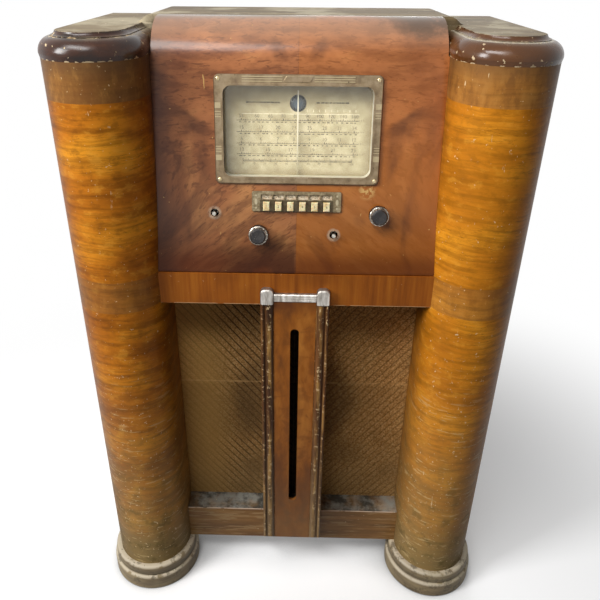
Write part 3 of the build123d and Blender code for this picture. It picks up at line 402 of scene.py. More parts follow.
# A painted sheen pales the roll, and dust lies behind it
roll = node("MapRange", z, panel_high.z - 45 * MM, panel_high.z - 8 * MM)
soot = node("Math", (x, 0.09, 0.17), roll)
soot = node("Math", soot, blots(node, place, 19.0, 0.34, 0.56, 6.0, 0.65))
behind = node("Math", (y, panel_high.y - 34 * MM, panel_high.y - 4 * MM),
              blots(node, place, 14.0, 0.35, 0.6))
chips = specks(node, place, 140.0, 0.715)
scratches = specks(node, place, 42.0, 0.725, (2.6, 1.0, 0.45))
worn = node("Math", chips, scratches, operation="MAXIMUM")
colour = coats(node, colour, [
    ((streaks, 0.44, 0.62), 0.56, "572a14"),
    ((pores, 0.54, 0.72), 0.40, "4a2713"),
    ((curls, 0.54, 0.66), 0.48, "46200c"),
    (node("Math", right_half, low_half), 0.55, "bd6f20"),
    (right_half, 0.22, "c4701f"),
    ((knots, 0.54, 0.72), 0.6, "4a2512"),
    (lower, 0.34, "44210d"),
    (lower_left_shade, 1.0, "553c2f"),
    (foot_shade, 0.66, "511f03"),
    (sooty, 0.62, "2c170d"),
    # Painted shade beside the left column
    ((x, -0.165, -0.213), 0.45, "3a2a28"),
    ((mirror_x, 0.5 * MM, 0.2 * MM), 0.35, "2a140a"),
    (roll, 0.42, "b99c86"),
    (soot, 0.85, "5c4b3d"),
    (behind, 0.8, "7c7763")])
for name in ("tone_turn", "band_turn"):
    reach = node("VectorMath", place, turn_joints[name]["pos_m"], operation="DISTANCE")
    ring = node("MapRange", reach.outputs["Value"], 12 * MM, 8 * MM)
    ring = node("Math", ring, blots(node, place, 160.0, 0.3, 0.5, 2.0))
    colour = coats(node, colour, [(ring, 0.7, "b79f86")])
# Lacquer scraped off below the dial frame's right corner
scraped = node("VectorMath", place, tuple(on_panel(0.106, 0.037).to_translation()), operation="DISTANCE")
scraped = node("Math", (scraped.outputs["Value"], 17 * MM, 4 * MM), specks(node, place, 150.0, 0.50))
worn = node("Math", worn, scraped, operation="MAXIMUM")
# The back of the panel is bare plywood
rear_face = node("VectorMath", node("NewGeometry").outputs["Normal"], tuple(outward),
                 operation="DOT_PRODUCT")
bare = node("MixRGB", (streaks, 0.35, 0.65), "a9834f", "7d5a33")
haze = node("TexNoise", {"Vector": place, "Scale": 8.0, "Detail": 4.0})
gloss = node("MapRange", haze, 0.3, 0.7, 0.24, 0.44)
# Polish is worn away towards the foot of the panel
polish = node("MapRange", z, panel_low.z + 25 * MM, panel_low.z + 110 * MM, 0.04, 0.42)
colour = coats(node, colour, [
    (worn, 1.0, "d2a866"),
    ((rear_face.outputs["Value"], -0.2, -0.5), 1.0, bare)])
shade(node, colour, gloss, [
    (pores, 0.10, 0.6)], {"Specular IOR Level": 0.13, "Coat Weight": polish, "Coat Roughness": 0.20})
paint(material, "control_panel")


# Apron under the panel: veneer with upright grain, rubbed pale along its lower
# edge. It is screwed to the column flanks.
material, node, place, _, pores, colour = wood("apron_upright_veneer", (120, 20, 5), 0.010, 33.0, [
    (0.30, "7c4010"), (0.50, "985417"), (0.72, "ac6720")])
z = node("SeparateXYZ", place).outputs["Z"]
edge = node("Math", (z, apron_low.z + 1.6 * MM, apron_low.z + 0.6 * MM),
            blots(node, place, 60.0, 0.38, 0.5, 4.0))
worn = node("Math", edge, specks(node, place, 110.0, 0.70), operation="MAXIMUM")
colour = coats(node, colour, [
    (blots(node, place, 14.0, 0.45, 0.7, 3.0), 0.5, "733c10"),
    (worn, 0.8, "c79f73")])
shade(node, colour, 0.4, [(pores, 0.12, 0.6)], {"Specular IOR Level": 0.15})
paint(material, "apron")


# Bottom rail and sill: solid wood between the columns, with dust lying on every
# flat top and light scuffs across the front.
material, node, place, _, pores, colour = wood("scuffed_rail", (5, 60, 60), 0.02, 37.0, [
    (0.30, "573818"), (0.50, "80592c"), (0.72, "a67d48")])
_, y, z = node("SeparateXYZ", place).outputs
slanted = node("Mapping", {"Vector": place, "Rotation": (0, radians(52), 0), "Scale": (0.25, 1, 3.0)})
edge = node("Math", (z, rail_high.z - 1.6 * MM, rail_high.z - 0.4 * MM),
            blots(node, place, 60.0, 0.35, 0.45, 4.0))
edge = node("Math", edge, (y, rail_low.y + 2 * MM, rail_low.y + 1 * MM))
dust = node("Math", facing(node, "Z", 0.5, 0.95),
            (node("TexNoise", {"Vector": place, "Scale": 40.0, "Detail": 6.0}), 0.3, 0.6, 0.55, 1.0))
grey = node("MixRGB", blots(node, place, 22.0, 0.40, 0.58, 7.0, 0.7), "85837a", "3f3c35")
gloss = node("MapRange", dust, 0.0, 1.0, 0.40, 0.9)
colour = coats(node, colour, [
    (specks(node, slanted, 60.0, 0.55), 0.65, "a3845a"),
    (dust, 1.0, grey),
    (edge, 1.0, "c3ab95"),
    (specks(node, place, 120.0, 0.70), 1.0, "cdb894")])
shade(node, colour, gloss, [(pores, 0.12, 0.6), (dust, 0.2, 0.5)], {"Specular IOR Level": 0.2})
paint(material, "bottom_rail", "sill")


# Pilaster posts: reeded hardwood, nearly black in the hollows and rubbed to
# golden wood along the rounded reeds. Screwed from behind through the baffle.
post_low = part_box("pilaster_post_right")[0]
material, node, place, _, pores, colour = wood("reeded_post_rubbed", (60, 60, 4), 0.012, 41.0, [
    (0.30, "2c1708"), (0.52, "573518"), (0.74, "7f5128")])
x, y, z = node("SeparateXYZ", place).outputs
mirror_x = node("Math", x, operation="ABSOLUTE")
rubbing = stretched(node, place, (90, 90, 12), 5.0, 0.6)
reed_crest = node("MapRange", y, post_low.y + 1.6 * MM, post_low.y)
inner_arris = node("MapRange", mirror_x, post_low.x + 1.6 * MM, post_low.x + 0.3 * MM)
crest = node("Math", reed_crest, inner_arris, operation="MAXIMUM")
rubbed = node("Math", crest, (rubbing, 0.44, 0.60))
chipped = node("Math", crest, specks(node, place, 170.0, 0.59))
dust = node("Math", (z, 0.42, 0.05), rubbing)
colour = coats(node, colour, [
    (rubbed, 0.75, "b98a4c"),
    (chipped, 0.8, "dcc091"),
    (dust, 1.0, "877455")])
shade(node, colour, 0.4, [(pores, 0.12, 0.6), (rubbed, -0.15, 0.6)], {"Specular IOR Level": 0.15})
paint(material, "pilaster_post_right", "pilaster_post_left")


# Slot panel between the posts: golden veneer, upright and mottled, with a
# painted patch of light at the foot of its sound slot.
slot_low, slot_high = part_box("slot_panel")
material, node, place, _, pores, colour = wood("mottled_slot_veneer", (34, 34, 9), 0.05, 45.0, [
    (0.30, "63350f"), (0.50, "975719"), (0.70, "bb7730")])
z = node("SeparateXYZ", place).outputs["Z"]
mottle = node("TexNoise", {"Vector": place, "Scale": 45.0, "Detail": 3.0, "Distortion": 0.6})
head = node("MapRange", z, slot_high.z - 30 * MM, slot_high.z)
darker = node("MapRange", z, 0.52, 0.12)
dust = node("Math", (z, 0.30, 0.05), mottle)
slot_foot = slot_low.z + 145 * MM
# Painted light: pale where faces look up at the foot of the slot, and in a spot just below
slot_foot_light = node("VectorMath", place, (0.0, slot_low.y, slot_foot), operation="DISTANCE")
slot_foot_light = node("Math", (slot_foot_light.outputs["Value"], 15 * MM, 12 * MM),
            (z, slot_foot - 1 * MM, slot_foot - 3 * MM))
slot_foot_light = node("Math", slot_foot_light, facing(node, "Z", 0.2, 0.5))
light_below_slot = node("VectorMath", place, (0.0, slot_low.y, slot_foot - 8.5 * MM), operation="DISTANCE")
light_below_slot = node("MapRange", light_below_slot.outputs["Value"], 6.5 * MM, 5.0 * MM)
slot_foot_light = node("Math", slot_foot_light, light_below_slot, operation="MAXIMUM")
colour = coats(node, colour, [
    ((mottle, 0.48, 0.66), 0.5, "723f13"),
    (head, 0.5, "4a2410"),
    (darker, 0.55, "54300f"),
    (dust, 0.6, "86704d"),
    (slot_foot_light, 1.0, "d9cdb6")])
shade(node, colour, 0.42, [(pores, 0.12, 0.6)], {"Specular IOR Level": 0.2})
paint(material, "slot_panel")


# Caps and ribbed bar: die castings, their nickel gone dull and streaked. Screwed
# to the apron from behind.
material, node, place, streaks, pores, colour = wood("dull_nickel_casting", (160, 160, 30), 0.010, 49.0, [
    (0.30, "746c63"), (0.50, "b1aba3"), (0.70, "e0dcd5")])
# Painted shade darkens the rims, where the castings turn away from view
rim_shade = node("MapRange", node("LayerWeight", {"Blend": 0.45}).outputs["Facing"], 0.30, 0.80)
gloss = node("MapRange", streaks, 0.3, 0.7, 0.55, 0.32)
colour = coats(node, colour, [
    (specks(node, place, 130.0, 0.66), 1.0, "574b3c"),
    (rim_shade, 0.75, "4b443c")])
shade(node, colour, gloss, [(pores, 0.08, 0.6)], {"Metallic": 0.85})
paint(material, "pilaster_caps")


# Grille cloth: a ribbed weave stretched over the baffle in two halves, its cords
# running up and outwards from the pilaster. Brown gold, faded, dusty low down.
# The threads are drawn three times as coarse as the real millimetre, to show.
def mottled(name, scale, detail, shades, roughness=0.5):
    """A new material of one clouded noise: what surface() gives, the noise and its colour."""
    material, node, place = surface(name)
    noise = node("TexNoise", {"Vector": place, "Scale": scale, "Detail": detail, "Roughness": roughness})
    return material, node, place, noise, node("ValToRGB", noise, stops=shades)


rib_rise, rib_slope = 19.0 * MM, 1.23
thread_pitch = 3.3 * MM
cord_height = 0.75 * MM
cell = 1.1 * MM
rib_turn = pi / rib_rise
material, node, place, _, colour = mottled("ribbed_grille_weave", 330.0, 4.0, [
    (0.36, "7d511f"), (0.50, "c58e4a"), (0.64, "f0c684")], 0.7)
x, _, z = node("SeparateXYZ", place).outputs
mirror_x = node("Math", x, operation="ABSOLUTE")
slanted = node("Math", mirror_x, rib_slope)
over_ribs = node("Math", slanted, z, operation="SUBTRACT")
along_ribs = node("Math", mirror_x, node("Math", z, rib_slope), operation="ADD")
wave = node("Math", node("Math", over_ribs, rib_turn), operation="SINE")
# Painted shade in the hollows between the ribs
hollow = node("MapRange", node("Math", wave, operation="ABSOLUTE"), 0.50, 0.12)
thread_a = node("Math", node("Math", along_ribs, 2 * pi / thread_pitch), operation="SINE")
thread_b = node("Math", node("Math", over_ribs, 2 * pi / thread_pitch), operation="SINE")
threads = node("Math", thread_a, thread_b)
patches = node("TexNoise", {"Vector": place, "Scale": 9.0, "Detail": 4.0})
faded = node("Math", (patches, 0.44, 0.66), (z, 0.66, 0.40))
# Where the cloth is faded, the painted shade in its grooves is weaker
groove_shade_share = node("MapRange", faded, 0.0, 1.0, 0.90, 0.45)
# The right half is worn flatter, and its painted groove shade is halved, so that its ribs show less
groove_shade_share = node("Math", groove_shade_share, (x, -1 * MM, 1 * MM, 1.0, 0.50))
# Painted shade over the loudspeaker's hole, where no board backs the cloth
speaker_low, speaker_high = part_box("speaker_basket")
speaker_middle = (speaker_low + speaker_high) / 2
flat = node("VectorMath", place, (1, 0, 1), operation="MULTIPLY")
reach = node("VectorMath", flat, (0, 0, speaker_middle.z), operation="DISTANCE").outputs["Value"]
sooty = node("Math", (x, -0.13, -0.08), (x, 0.0, -0.06))
# A crease left by folding shows as a pale line, and the cloth below it is darker
crease_level = 0.425
below = node("MapRange", z, crease_level + 4 * MM, crease_level - 12 * MM)
crease = node("Math", node("Math", z, crease_level, operation="SUBTRACT"), operation="ABSOLUTE")
crease = node("Math", (crease, 2.6 * MM, 0.8 * MM), (patches, 0.35, 0.55))
# Painted shade: the cloth behind the sound slot is darkened nearly black
slot_shade = node("MapRange", mirror_x, 11 * MM, 9 * MM)
low_dust = node("MapRange", z, 0.30, 0.14)
colour = coats(node, colour, [
    ((threads, 0.1, 0.8), 0.6, "ecc88c"),
    ((threads, -0.1, -0.8), 0.55, "65401a"),
    (node("Math", hollow, groove_shade_share), 1.0, "2e1a08"),
    (faded, 0.40, "57401f"),
    ((reach, 0.135, 0.095), 0.48, "2f200f"),
    # The left half is painted lighter beside its column, as painted light, and sooty beside the post
    ((x, -0.10, -0.17), 0.62, "dba85c"),
    (sooty, 0.36, "3c2813"),
    (below, 0.20, "5a3f1c"),
    (crease, 0.40, "e0b473"),
    (slot_shade, 0.85, "150f0a"),
    (low_dust, 0.35, "7d6a48")])
shade(node, colour, 0.85, [(threads, 0.15, 0.8)], {"Specular IOR Level": 0.2})


def placed(name, data):
    """A new object in the scene."""
    thing = bpy.data.objects.new(name, data)
    bpy.context.scene.collection.objects.link(thing)
    return thing


for name, relief in (("grille_cloth_right", 0.55 * cord_height), ("grille_cloth_left", cord_height)):
    low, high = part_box(name)
    columns, rows = round((high.x - low.x) / cell), round((high.z - low.z) / cell)
    stride = columns + 1
    points = []
    for row in range(rows + 1):
        z = low.z + (high.z - low.z) * row / rows
        for column in range(stride):
            x = low.x + (high.x - low.x) * column / columns
            rise = abs(sin((rib_slope * abs(x) - z) * rib_turn)) ** 0.5
            points.append((x, high.y - 0.15 * MM - relief * rise, z))
    faces = [(r * stride + c, r * stride + c + 1, (r + 1) * stride + c + 1, (r + 1) * stride + c)
             for r in range(rows) for c in range(columns)]
    mesh = bpy.data.meshes.new(name + "_sheet")
    mesh.from_pydata(points, [], faces)
    mesh.shade_smooth()
    mesh.materials.append(material)
    cloth = placed(name + "_sheet", mesh)
    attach(cloth, "cabinet")
    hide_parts(name)


# Dial frame: a die-cast escutcheon in antique brass, held by four slotted domed
# screws. The raised rim, ribs and reeds are rubbed bright, and brown patina
# stays in the hollows. A plain bevelled plaque sits between the reeds.
def new_piece(name, mesh, material, body, matrix=None, crease=35):
    """An object from a mesh, put in place, that rides on a body."""
    if matrix is not None:
        mesh.transform(matrix)
    mesh.shade_smooth()
    mesh.set_sharp_from_angle(angle=radians(crease))
    mesh.materials.append(material)
    piece = placed(name, mesh)
    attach(piece, body)
    return piece


def mesh_of(name, build):
    """Mesh from a function that fills a bmesh, with its doubled points joined."""
    bm = bmesh.new()
    build(bm)
    bmesh.ops.remove_doubles(bm, verts=bm.verts, dist=0.004 * MM)
    bmesh.ops.recalc_face_normals(bm, faces=bm.faces)
    mesh = bpy.data.meshes.new(name)
    bm.to_mesh(mesh)
    bm.free()
    return mesh


def copies(name, mesh, places):
    """One mesh made of copies of another at several places."""
    def build(bm):
        for matrix in places:
            start = len(bm.verts)
            bm.from_mesh(mesh)
            bm.verts.ensure_lookup_table()
            bmesh.ops.transform(bm, matrix=matrix, verts=bm.verts[start:])
    return mesh_of(name, build)


def slotted_head(radius, rise, slot):
    """Domed screw head on local Z = 0 with a straight slot."""
    def build(bm):
        rows, steps, floor_z = 6, 16, rise * 0.35
        walls = []
        for side in (-1, 1):
            grid = []
            for row in range(rows + 1):
                y = slot / 2 + (radius - slot / 2) * sin(pi / 2 * row / rows)
                half = max(radius**2 - y * y, 0) ** 0.5
                xs = [-half * cos(pi * step / steps) for step in range(steps + 1)]
                dome = [rise * max(1 - (x * x + y * y) / radius**2, 0) ** 0.5 for x in xs]
                grid.append([bm.verts.new((x, side * y, z)) for x, z in zip(xs, dome)])
            wall = [bm.verts.new((v.co.x, v.co.y, min(v.co.z, floor_z))) for v in grid[0]]
            walls.append(wall)
            for a, b in zip([wall] + grid, grid):
                for step in range(steps):
                    quad(bm, a[step], a[step + 1], b[step + 1], b[step])
        for step in range(steps):
            quad(bm, walls[0][step], walls[0][step + 1], walls[1][step + 1], walls[1][step])
    return mesh_of("slotted_head", build)


def quad(bm, *corners):
    """A face, unless its corners fall together."""
    if len({tuple(round(c, 7) for c in corner.co) for corner in corners}) > 2:
        bm.faces.new(corners)


def plate_mesh(name, corners, thickness, bevel):
    """Flat plate on local Z = 0 with a bevelled upper edge, from its corners in order."""
    def build(bm):
        centre = sum((Vector(c) for c in corners), Vector((0, 0))) / len(corners)
        rings = []
        for z, inset in ((0, 0), (thickness - bevel, 0), (thickness, bevel)):
            ring = []
            for corner in corners:
                away = Vector(corner) - centre
                x = corner[0] - inset * (1 if away.x > 0 else -1)
                y = corner[1] - inset * (1 if away.y > 0 else -1)
                ring.append(bm.verts.new((x, y, z)))
            rings.append(ring)
        count = len(corners)
        for a, b in zip(rings, rings[1:]):
            for k in range(count):
                quad(bm, a[k], a[(k + 1) % count], b[(k + 1) % count], b[k])
        bm.faces.new(rings[0])
        bm.faces.new(rings[-1])
    return mesh_of(name, build)


def along_panel(points):
    """Points given along the panel's own axes."""
    return [panel_turn.transposed() @ (point.co - panel_origin) for point in points]


def span(points):
    """Lowest and highest corner of some points."""
    return [Vector([pick(point[axis] for point in points) for axis in range(3)]) for pick in (min, max)]


def panel_span(node):
    """Lowest and highest corner of a CAD node along the panel's own axes."""
    return span(along_panel(frame["nodes"][node].data.vertices))


def panel_axis(node, place, axis):
    """Distance from the panel's origin along one of its axes, for masks on what is fixed to it."""
    reach = node("VectorMath", place, tuple(axis), operation="DOT_PRODUCT").outputs["Value"]
    return node("Math", reach, axis.dot(panel_origin), operation="SUBTRACT")


def clouded(name, scale, detail, shades, roughness, depth, strength, more={}):
    """A whole material of one clouded noise, which sets its colour, relief and gloss."""
    material, node, place, noise, colour = mottled(name, scale, detail, shades)
    if isinstance(roughness, tuple):
        roughness = node("MapRange", noise, 0.3, 0.7, *roughness)
    shade(node, colour, roughness, [(noise, depth, strength)] if depth else [], more)
    return material


frame_low, frame_high = panel_span("escutcheon")
antique_brass, node, place, tarnish, colour = mottled("antique_brass_casting", 55.0, 6.0, [
    (0.30, "6a5743"), (0.50, "8d7a5e"), (0.72, "a9967b")], 0.65)
proud = panel_axis(node, place, outward)
hollow = node("MapRange", proud, 3.6 * MM, 2.6 * MM)
raised = node("Math", (proud, 4.2 * MM, 4.5 * MM), (proud, 5.5 * MM, 5.1 * MM))
# The opening's wall has a painted highlight where it looks up or to the left,
# towards the lamps
frame_middle = (frame_low + frame_high) / 2
corners = along_panel(frame["nodes"]["escutcheon"].data.vertices)
half_width = min(abs(p.x) for p in corners if abs(p.y - frame_middle.y) < 30 * MM)
half_height = min(abs(p.y - frame_middle.y) for p in corners if abs(p.x) < 60 * MM)
height = node("Math", panel_axis(node, place, up_slope), frame_middle.y, operation="SUBTRACT")
height = node("Math", height, operation="ABSOLUTE")
side = node("Math", node("SeparateXYZ", place).outputs["X"], operation="ABSOLUTE")
wall = node("Math", (side, half_width + 1.2 * MM, half_width + 0.6 * MM),
            (height, half_height + 1.2 * MM, half_height + 0.6 * MM))
looks_up = node("VectorMath", node("NewGeometry").outputs["Normal"], tuple(up_slope),
                operation="DOT_PRODUCT")
bright = node("Math", (looks_up.outputs["Value"], 0.5, 0.8), facing(node, "X", -0.5, -0.8),
              operation="MAXIMUM")
gloss = node("MapRange", tarnish, 0.3, 0.7, 0.55, 0.36)
colour = coats(node, colour, [
    (hollow, 0.6, "54462f"),
    (raised, 0.55, "cfbf98"),
    (specks(node, place, 260.0, 0.68), 1.0, "4a3c28"),
    (node("Math", wall, bright), 0.8, "e9e4d2")])
shade(node, colour, gloss, [(tarnish, 0.08, 0.5)], {"Metallic": 0.7})
paint(antique_brass, "escutcheon")

material = clouded("bright_brass_screw", 700.0, 3.0, [
    (0.35, "a18a5e"), (0.6, "ded0ab")], (0.4, 0.22), 0.02, 0.5, {"Metallic": 1.0})
screw_inset = 6.5 * MM
plate_face = 4.0 * MM
slots = Random(3)
head = slotted_head(3.1 * MM, 1.5 * MM, 0.7 * MM)
places = [on_panel(x, height, plate_face) @ Matrix.Rotation(slots.uniform(0, pi), 4, "Z")
          for x in (frame_low.x + screw_inset, frame_high.x - screw_inset)
          for height in (frame_low.y + screw_inset, frame_high.y - screw_inset)]
new_piece("escutcheon_screws", copies("escutcheon_screws", head, places), material, "cabinet")

slant, plaque_width, plaque_height = 2.5 * MM, 39 * MM, 8.4 * MM
corners = [(side * plaque_width / 2 + up * slant, up * plaque_height / 2)
           for side, up in ((-1, -1), (1, -1), (1, 1), (-1, 1))]
plaque = plate_mesh("dial_plaque", corners, 1.5 * MM, 0.5 * MM)
new_piece("dial_plaque", plaque, antique_brass, "cabinet",
          on_panel(0, frame_high.y - 6.5 * MM, plate_face))


# Dial window: clear sheet glass clipped behind the escutcheon's flange, with a
# thin uneven film of dust.
material, node, place = surface("dusty_sheet_glass")
film = node("TexNoise", {"Vector": place, "Scale": 30.0, "Detail": 5.0})
gloss = node("MapRange", film, 0.35, 0.75, 0.0, 0.015)
sheet = node("BsdfPrincipled", {
    "Base Color": "fbfbf6", "Roughness": gloss, "IOR": 1.5, "Transmission Weight": 1.0})
open_to_lamps = node("BsdfTransparent", (0.92, 0.92, 0.90, 1))
node("OutputMaterial",
     node("MixShader", node("LightPath").outputs["Is Shadow Ray"], sheet, open_to_lamps))
paint(material, "dial_glass")


# Dial scale: a printed card on the bracket, cream gone brown at its edges, with
# painted shade under the frame along its top. The scales are rules, ticks and
# plain numbers in brown ink.
scale_high = panel_span("dial_scale")[1]
window_low, window_high = frame_low + Vector((13, 11.5, 0)) * MM, frame_high - Vector((13, 16, 0)) * MM
scale_centre = (window_low + window_high) / 2
material, node, place, fibres, colour = mottled("aged_printed_card", 60.0, 6.0, [
    (0.32, "988b6b"), (0.52, "aca080"), (0.72, "bdb193")])
height = panel_axis(node, place, up_slope)
side = node("SeparateXYZ", place).outputs["X"]
ends = node("MapRange", node("Math", side, operation="ABSOLUTE"), window_high.x - 16 * MM, window_high.x)
# Painted shade under the frame darkens the top
top = node("MapRange", height, window_high.y - 46 * MM, window_high.y - 4 * MM)
foot = node("MapRange", height, window_low.y + 12 * MM, window_low.y)
browned_and_shaded = node("Math", node("Math", ends, top, operation="MAXIMUM"), foot, operation="MAXIMUM")
colour = coats(node, colour, [
    (browned_and_shaded, 0.46, "7d6b47"),
    (blots(node, place, 18.0, 0.55, 0.75, 4.0), 0.4, "b39d6d")])
shade(node, colour, 0.7, [(fibres, 0.05, 0.4)])
paint(material, "dial_scale")

brown_ink = clouded("brown_printing_ink", 240.0, 3.0, [(0.40, "352c1a"), (0.66, "776a48")], 0.6, 0, 0)


def text_mesh(words, size):
    """Flat mesh of plain numbers, centred on its own middle."""
    curve = bpy.data.curves.new("words", "FONT")
    curve.body, curve.size = words, size
    curve.align_x, curve.align_y = "CENTER", "CENTER"
    holder = bpy.data.objects.new("words", curve)
    mesh = bpy.data.meshes.new_from_object(holder)
    bpy.data.objects.remove(holder)
    return mesh


def print_bar(bm, x, height, width, rise):
    """A printed bar on local Z = 0."""
    corners = [(x + side * width / 2, height + up * rise / 2)
               for side, up in ((-1, -1), (1, -1), (1, 1), (-1, 1))]
    bm.faces.new([bm.verts.new((*corner, 0)) for corner in corners])


def print_text(bm, words, size, x, height):
    """Printed numbers at a place on local Z = 0."""
    mesh = text_mesh(words, size)
    mesh.transform(Matrix.Translation((x, height, 0)))
    bm.from_mesh(mesh)
    bpy.data.meshes.remove(mesh)


def dial_printing(bm):
    """Four scales, a fine comb of ticks and two heading rules, about the window's middle."""
    fine, bold = 0.85 * MM, 1.3 * MM
    wide = 92 * MM
    hand = Random(11)
    scales = [(15, [55, 60, 65, 70, 80, 90, 100, 120, 140, 160]), (-2, [15, 17, 20, 23, 25, 28, 31, 34]),
              (-19, [5, 6, 7, 8, 9, 10, 11, 12]), (-35, [13, 15, 17, 19, 21, 23])]
    for level, numbers in scales:
        level = level * MM
        print_bar(bm, 0, level, 2 * wide, fine)
        for k, number in enumerate(numbers):
            x = wide * (-0.92 + 1.84 * (k / (len(numbers) - 1)) ** 0.9)
            print_bar(bm, x, level + 1.4 * MM, bold, 2.8 * MM)
            print_text(bm, str(number), 7.4 * MM, x, level + 6.4 * MM)
            for part in range(1, 5):
                print_bar(bm, x + part * 3.4 * MM, level + 0.8 * MM, fine, 1.6 * MM)
        for k in range(26):
            x = wide * (-0.94 + 1.88 * k / 25) + hand.uniform(-1, 1) * MM
            print_bar(bm, x, level - 2.6 * MM, hand.uniform(1.8, 5.2) * MM, 1.5 * MM)
    comb = -46 * MM
    for k in range(101):
        tall = 4.6 if k % 10 == 0 else 3.6 if k % 5 == 0 else 2.6
        print_bar(bm, wide * (-0.9 + 1.8 * k / 100), comb + tall / 2 * MM, fine, tall * MM)
    for k in range(11):
        print_text(bm, str(10 * k), 4.4 * MM, wide * (-0.9 + 0.18 * k), comb - 3.4 * MM)
    print_bar(bm, 0, comb, 2 * wide * 0.9, fine)
    # Headings either side of the tuning eye: broken rules instead of words
    for side in (-1, 1):
        x = side * 27 * MM
        while abs(x) < 74 * MM:
            length = hand.uniform(2.5, 6.0) * MM
            print_bar(bm, x + side * length / 2, 41 * MM, length, 2.2 * MM)
            x += side * (length + 0.9 * MM)


printing = mesh_of("dial_printing", dial_printing)
new_piece("dial_printing", printing, brown_ink, "cabinet",
          on_panel(0, scale_centre.y, scale_high.z + 0.03 * MM))

# One long pale rule is printed over the upper scale
material = clouded("cream_printing_ink", 300.0, 3.0, [(0.35, "cbc1a3"), (0.65, "ded5b9")], 0.6, 0, 0)
pale_rule = mesh_of("dial_pale_rule", lambda bm: [
    print_bar(bm, 4 * MM, 24.5 * MM, 176 * MM, 0.8 * MM),
    *[print_bar(bm, (14 + 9 * k) * MM, 29.5 * MM, 0.9 * MM, 3.6 * MM) for k in range(9)]])
new_piece("dial_pale_rule", pale_rule, material, "cabinet",
          on_panel(0, scale_centre.y, scale_high.z + 0.06 * MM))


# Dial pointer: a steel needle enamelled white, gone yellow towards its foot. It
# is pushed on its rod and slides along it.
material, node, place = surface("white_pointer_enamel")
chips = specks(node, place, 300.0, 0.66)
pointer_low, pointer_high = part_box("dial_pointer")
reach = node("MapRange", node("SeparateXYZ", place).outputs["Z"], pointer_high.z - 40 * MM,
             pointer_low.z + 6 * MM)
colour = coats(node, node("MixRGB", reach, "cdc6b4", "948a6c"), [(chips, 1.0, "857b64")])
shade(node, colour, 0.35, [(chips, -0.05, 0.6)])
paint(material, "dial_pointer")


# Tuning eye: the valve's round end stands in a hole in the card under a dome of
# smoky blue-grey glass, with its dark target behind.
def turned_mesh(name, outline, sides=48):
    """Mesh turned about local Z from points given as radius and height."""
    def build(bm):
        rings = [[bm.verts.new((r * cos(2 * pi * k / sides), r * sin(2 * pi * k / sides), z))
                  for k in range(sides)] for r, z in outline]
        for a, b in zip(rings, rings[1:]):
            for k in range(sides):
                quad(bm, a[k], a[(k + 1) % sides], b[(k + 1) % sides], b[k])
    return mesh_of(name, build)


eye_low, eye_high = panel_span("eye_tube")
eye_middle = (eye_low + eye_high) / 2
eye_radius = 11.9 * MM
material, node, place = surface("smoky_eye_glass")
centre = on_panel(eye_middle.x, eye_middle.y, eye_high.z).to_translation()
reach = node("VectorMath", place, tuple(centre), operation="DISTANCE").outputs["Value"]
colour = node("ValToRGB", node("Math", reach, 1 / eye_radius), stops=[
    (0.0, "566769"), (0.40, "3c4a58"), (0.75, "1d2731"), (1.0, "0e1218")])
film = node("TexNoise", {"Vector": place, "Scale": 160.0, "Detail": 3.0})
gloss = node("MapRange", film, 0.35, 0.75, 0.04, 0.14)
shade(node, colour, gloss, [], {"IOR": 1.5, "Coat Weight": 1.0, "Coat Roughness": 0.04})
dome = [(eye_radius * cos(radians(9 * k)), 4.2 * MM * sin(radians(9 * k))) for k in range(11)]
new_piece("eye_lens", turned_mesh("eye_lens", [(eye_radius, 0.0), *dome], 56), material, "cabinet",
          on_panel(eye_middle.x, eye_middle.y, eye_high.z))


# Push buttons: a cast bezel, brass gone grey, with six cream keys under six
# label windows. Each window holds a paper card with a plain number.
plate_high = panel_span("button_plate")[1]
material, node, place, tarnish, colour = mottled("grey_brass_bezel", 130.0, 5.0, [
    (0.30, "5f523e"), (0.50, "8a7a5d"), (0.72, "b5a789")], 0.65)
proud = panel_axis(node, place, outward)
# Painted shade darkens the bezel's hollows
hollow = node("MapRange", proud, 2.1 * MM, 1.2 * MM)
# Painted shade darkens the bezel round the keys
key_pitch = 18.3 * MM
key_low, key_high = panel_span("push_button_1")
height = panel_axis(node, place, up_slope)
side = node("Math", node("SeparateXYZ", place).outputs["X"], operation="ABSOLUTE")
key_well_shade = node("Math", (height, key_high.y + 2.5 * MM, key_high.y + 1.5 * MM),
            (height, key_low.y - 3.0 * MM, key_low.y - 2.0 * MM))
key_well_shade = node("Math", key_well_shade, (side, 3 * key_pitch + 2 * MM, 3 * key_pitch))
raised = node("MapRange", proud, 2.7 * MM, 3.3 * MM)
gloss = node("MapRange", tarnish, 0.3, 0.7, 0.55, 0.35)
colour = coats(node, colour, [
    (hollow, 0.8, "33281a"),
    (key_well_shade, 0.72, "33271a"),
    (raised, 0.6, "d2c6a6")])
shade(node, colour, gloss, [(tarnish, 0.10, 0.6)], {"Metallic": 0.75})
paint(material, "button_plate")

material, node, place, clouds, colour = mottled("yellowed_key_plastic", 130.0, 4.0, [
    (0.32, "d9b980"), (0.50, "efdcaa"), (0.70, "faedc6")])
proud = panel_axis(node, place, outward)
# Painted shade darkens each key towards the bezel it sits in
grime_and_shade = node("MapRange", proud, 7.0 * MM, 3.5 * MM)
colour = coats(node, colour, [(grime_and_shade, 0.7, "8a6c3f")])
shade(node, colour, 0.32, [(clouds, 0.05, 0.4)], {"Subsurface Weight": 0.15, "Subsurface Scale": 0.002})
key_count = 6
paint(material, *["push_button_%d" % (k + 1) for k in range(key_count)])

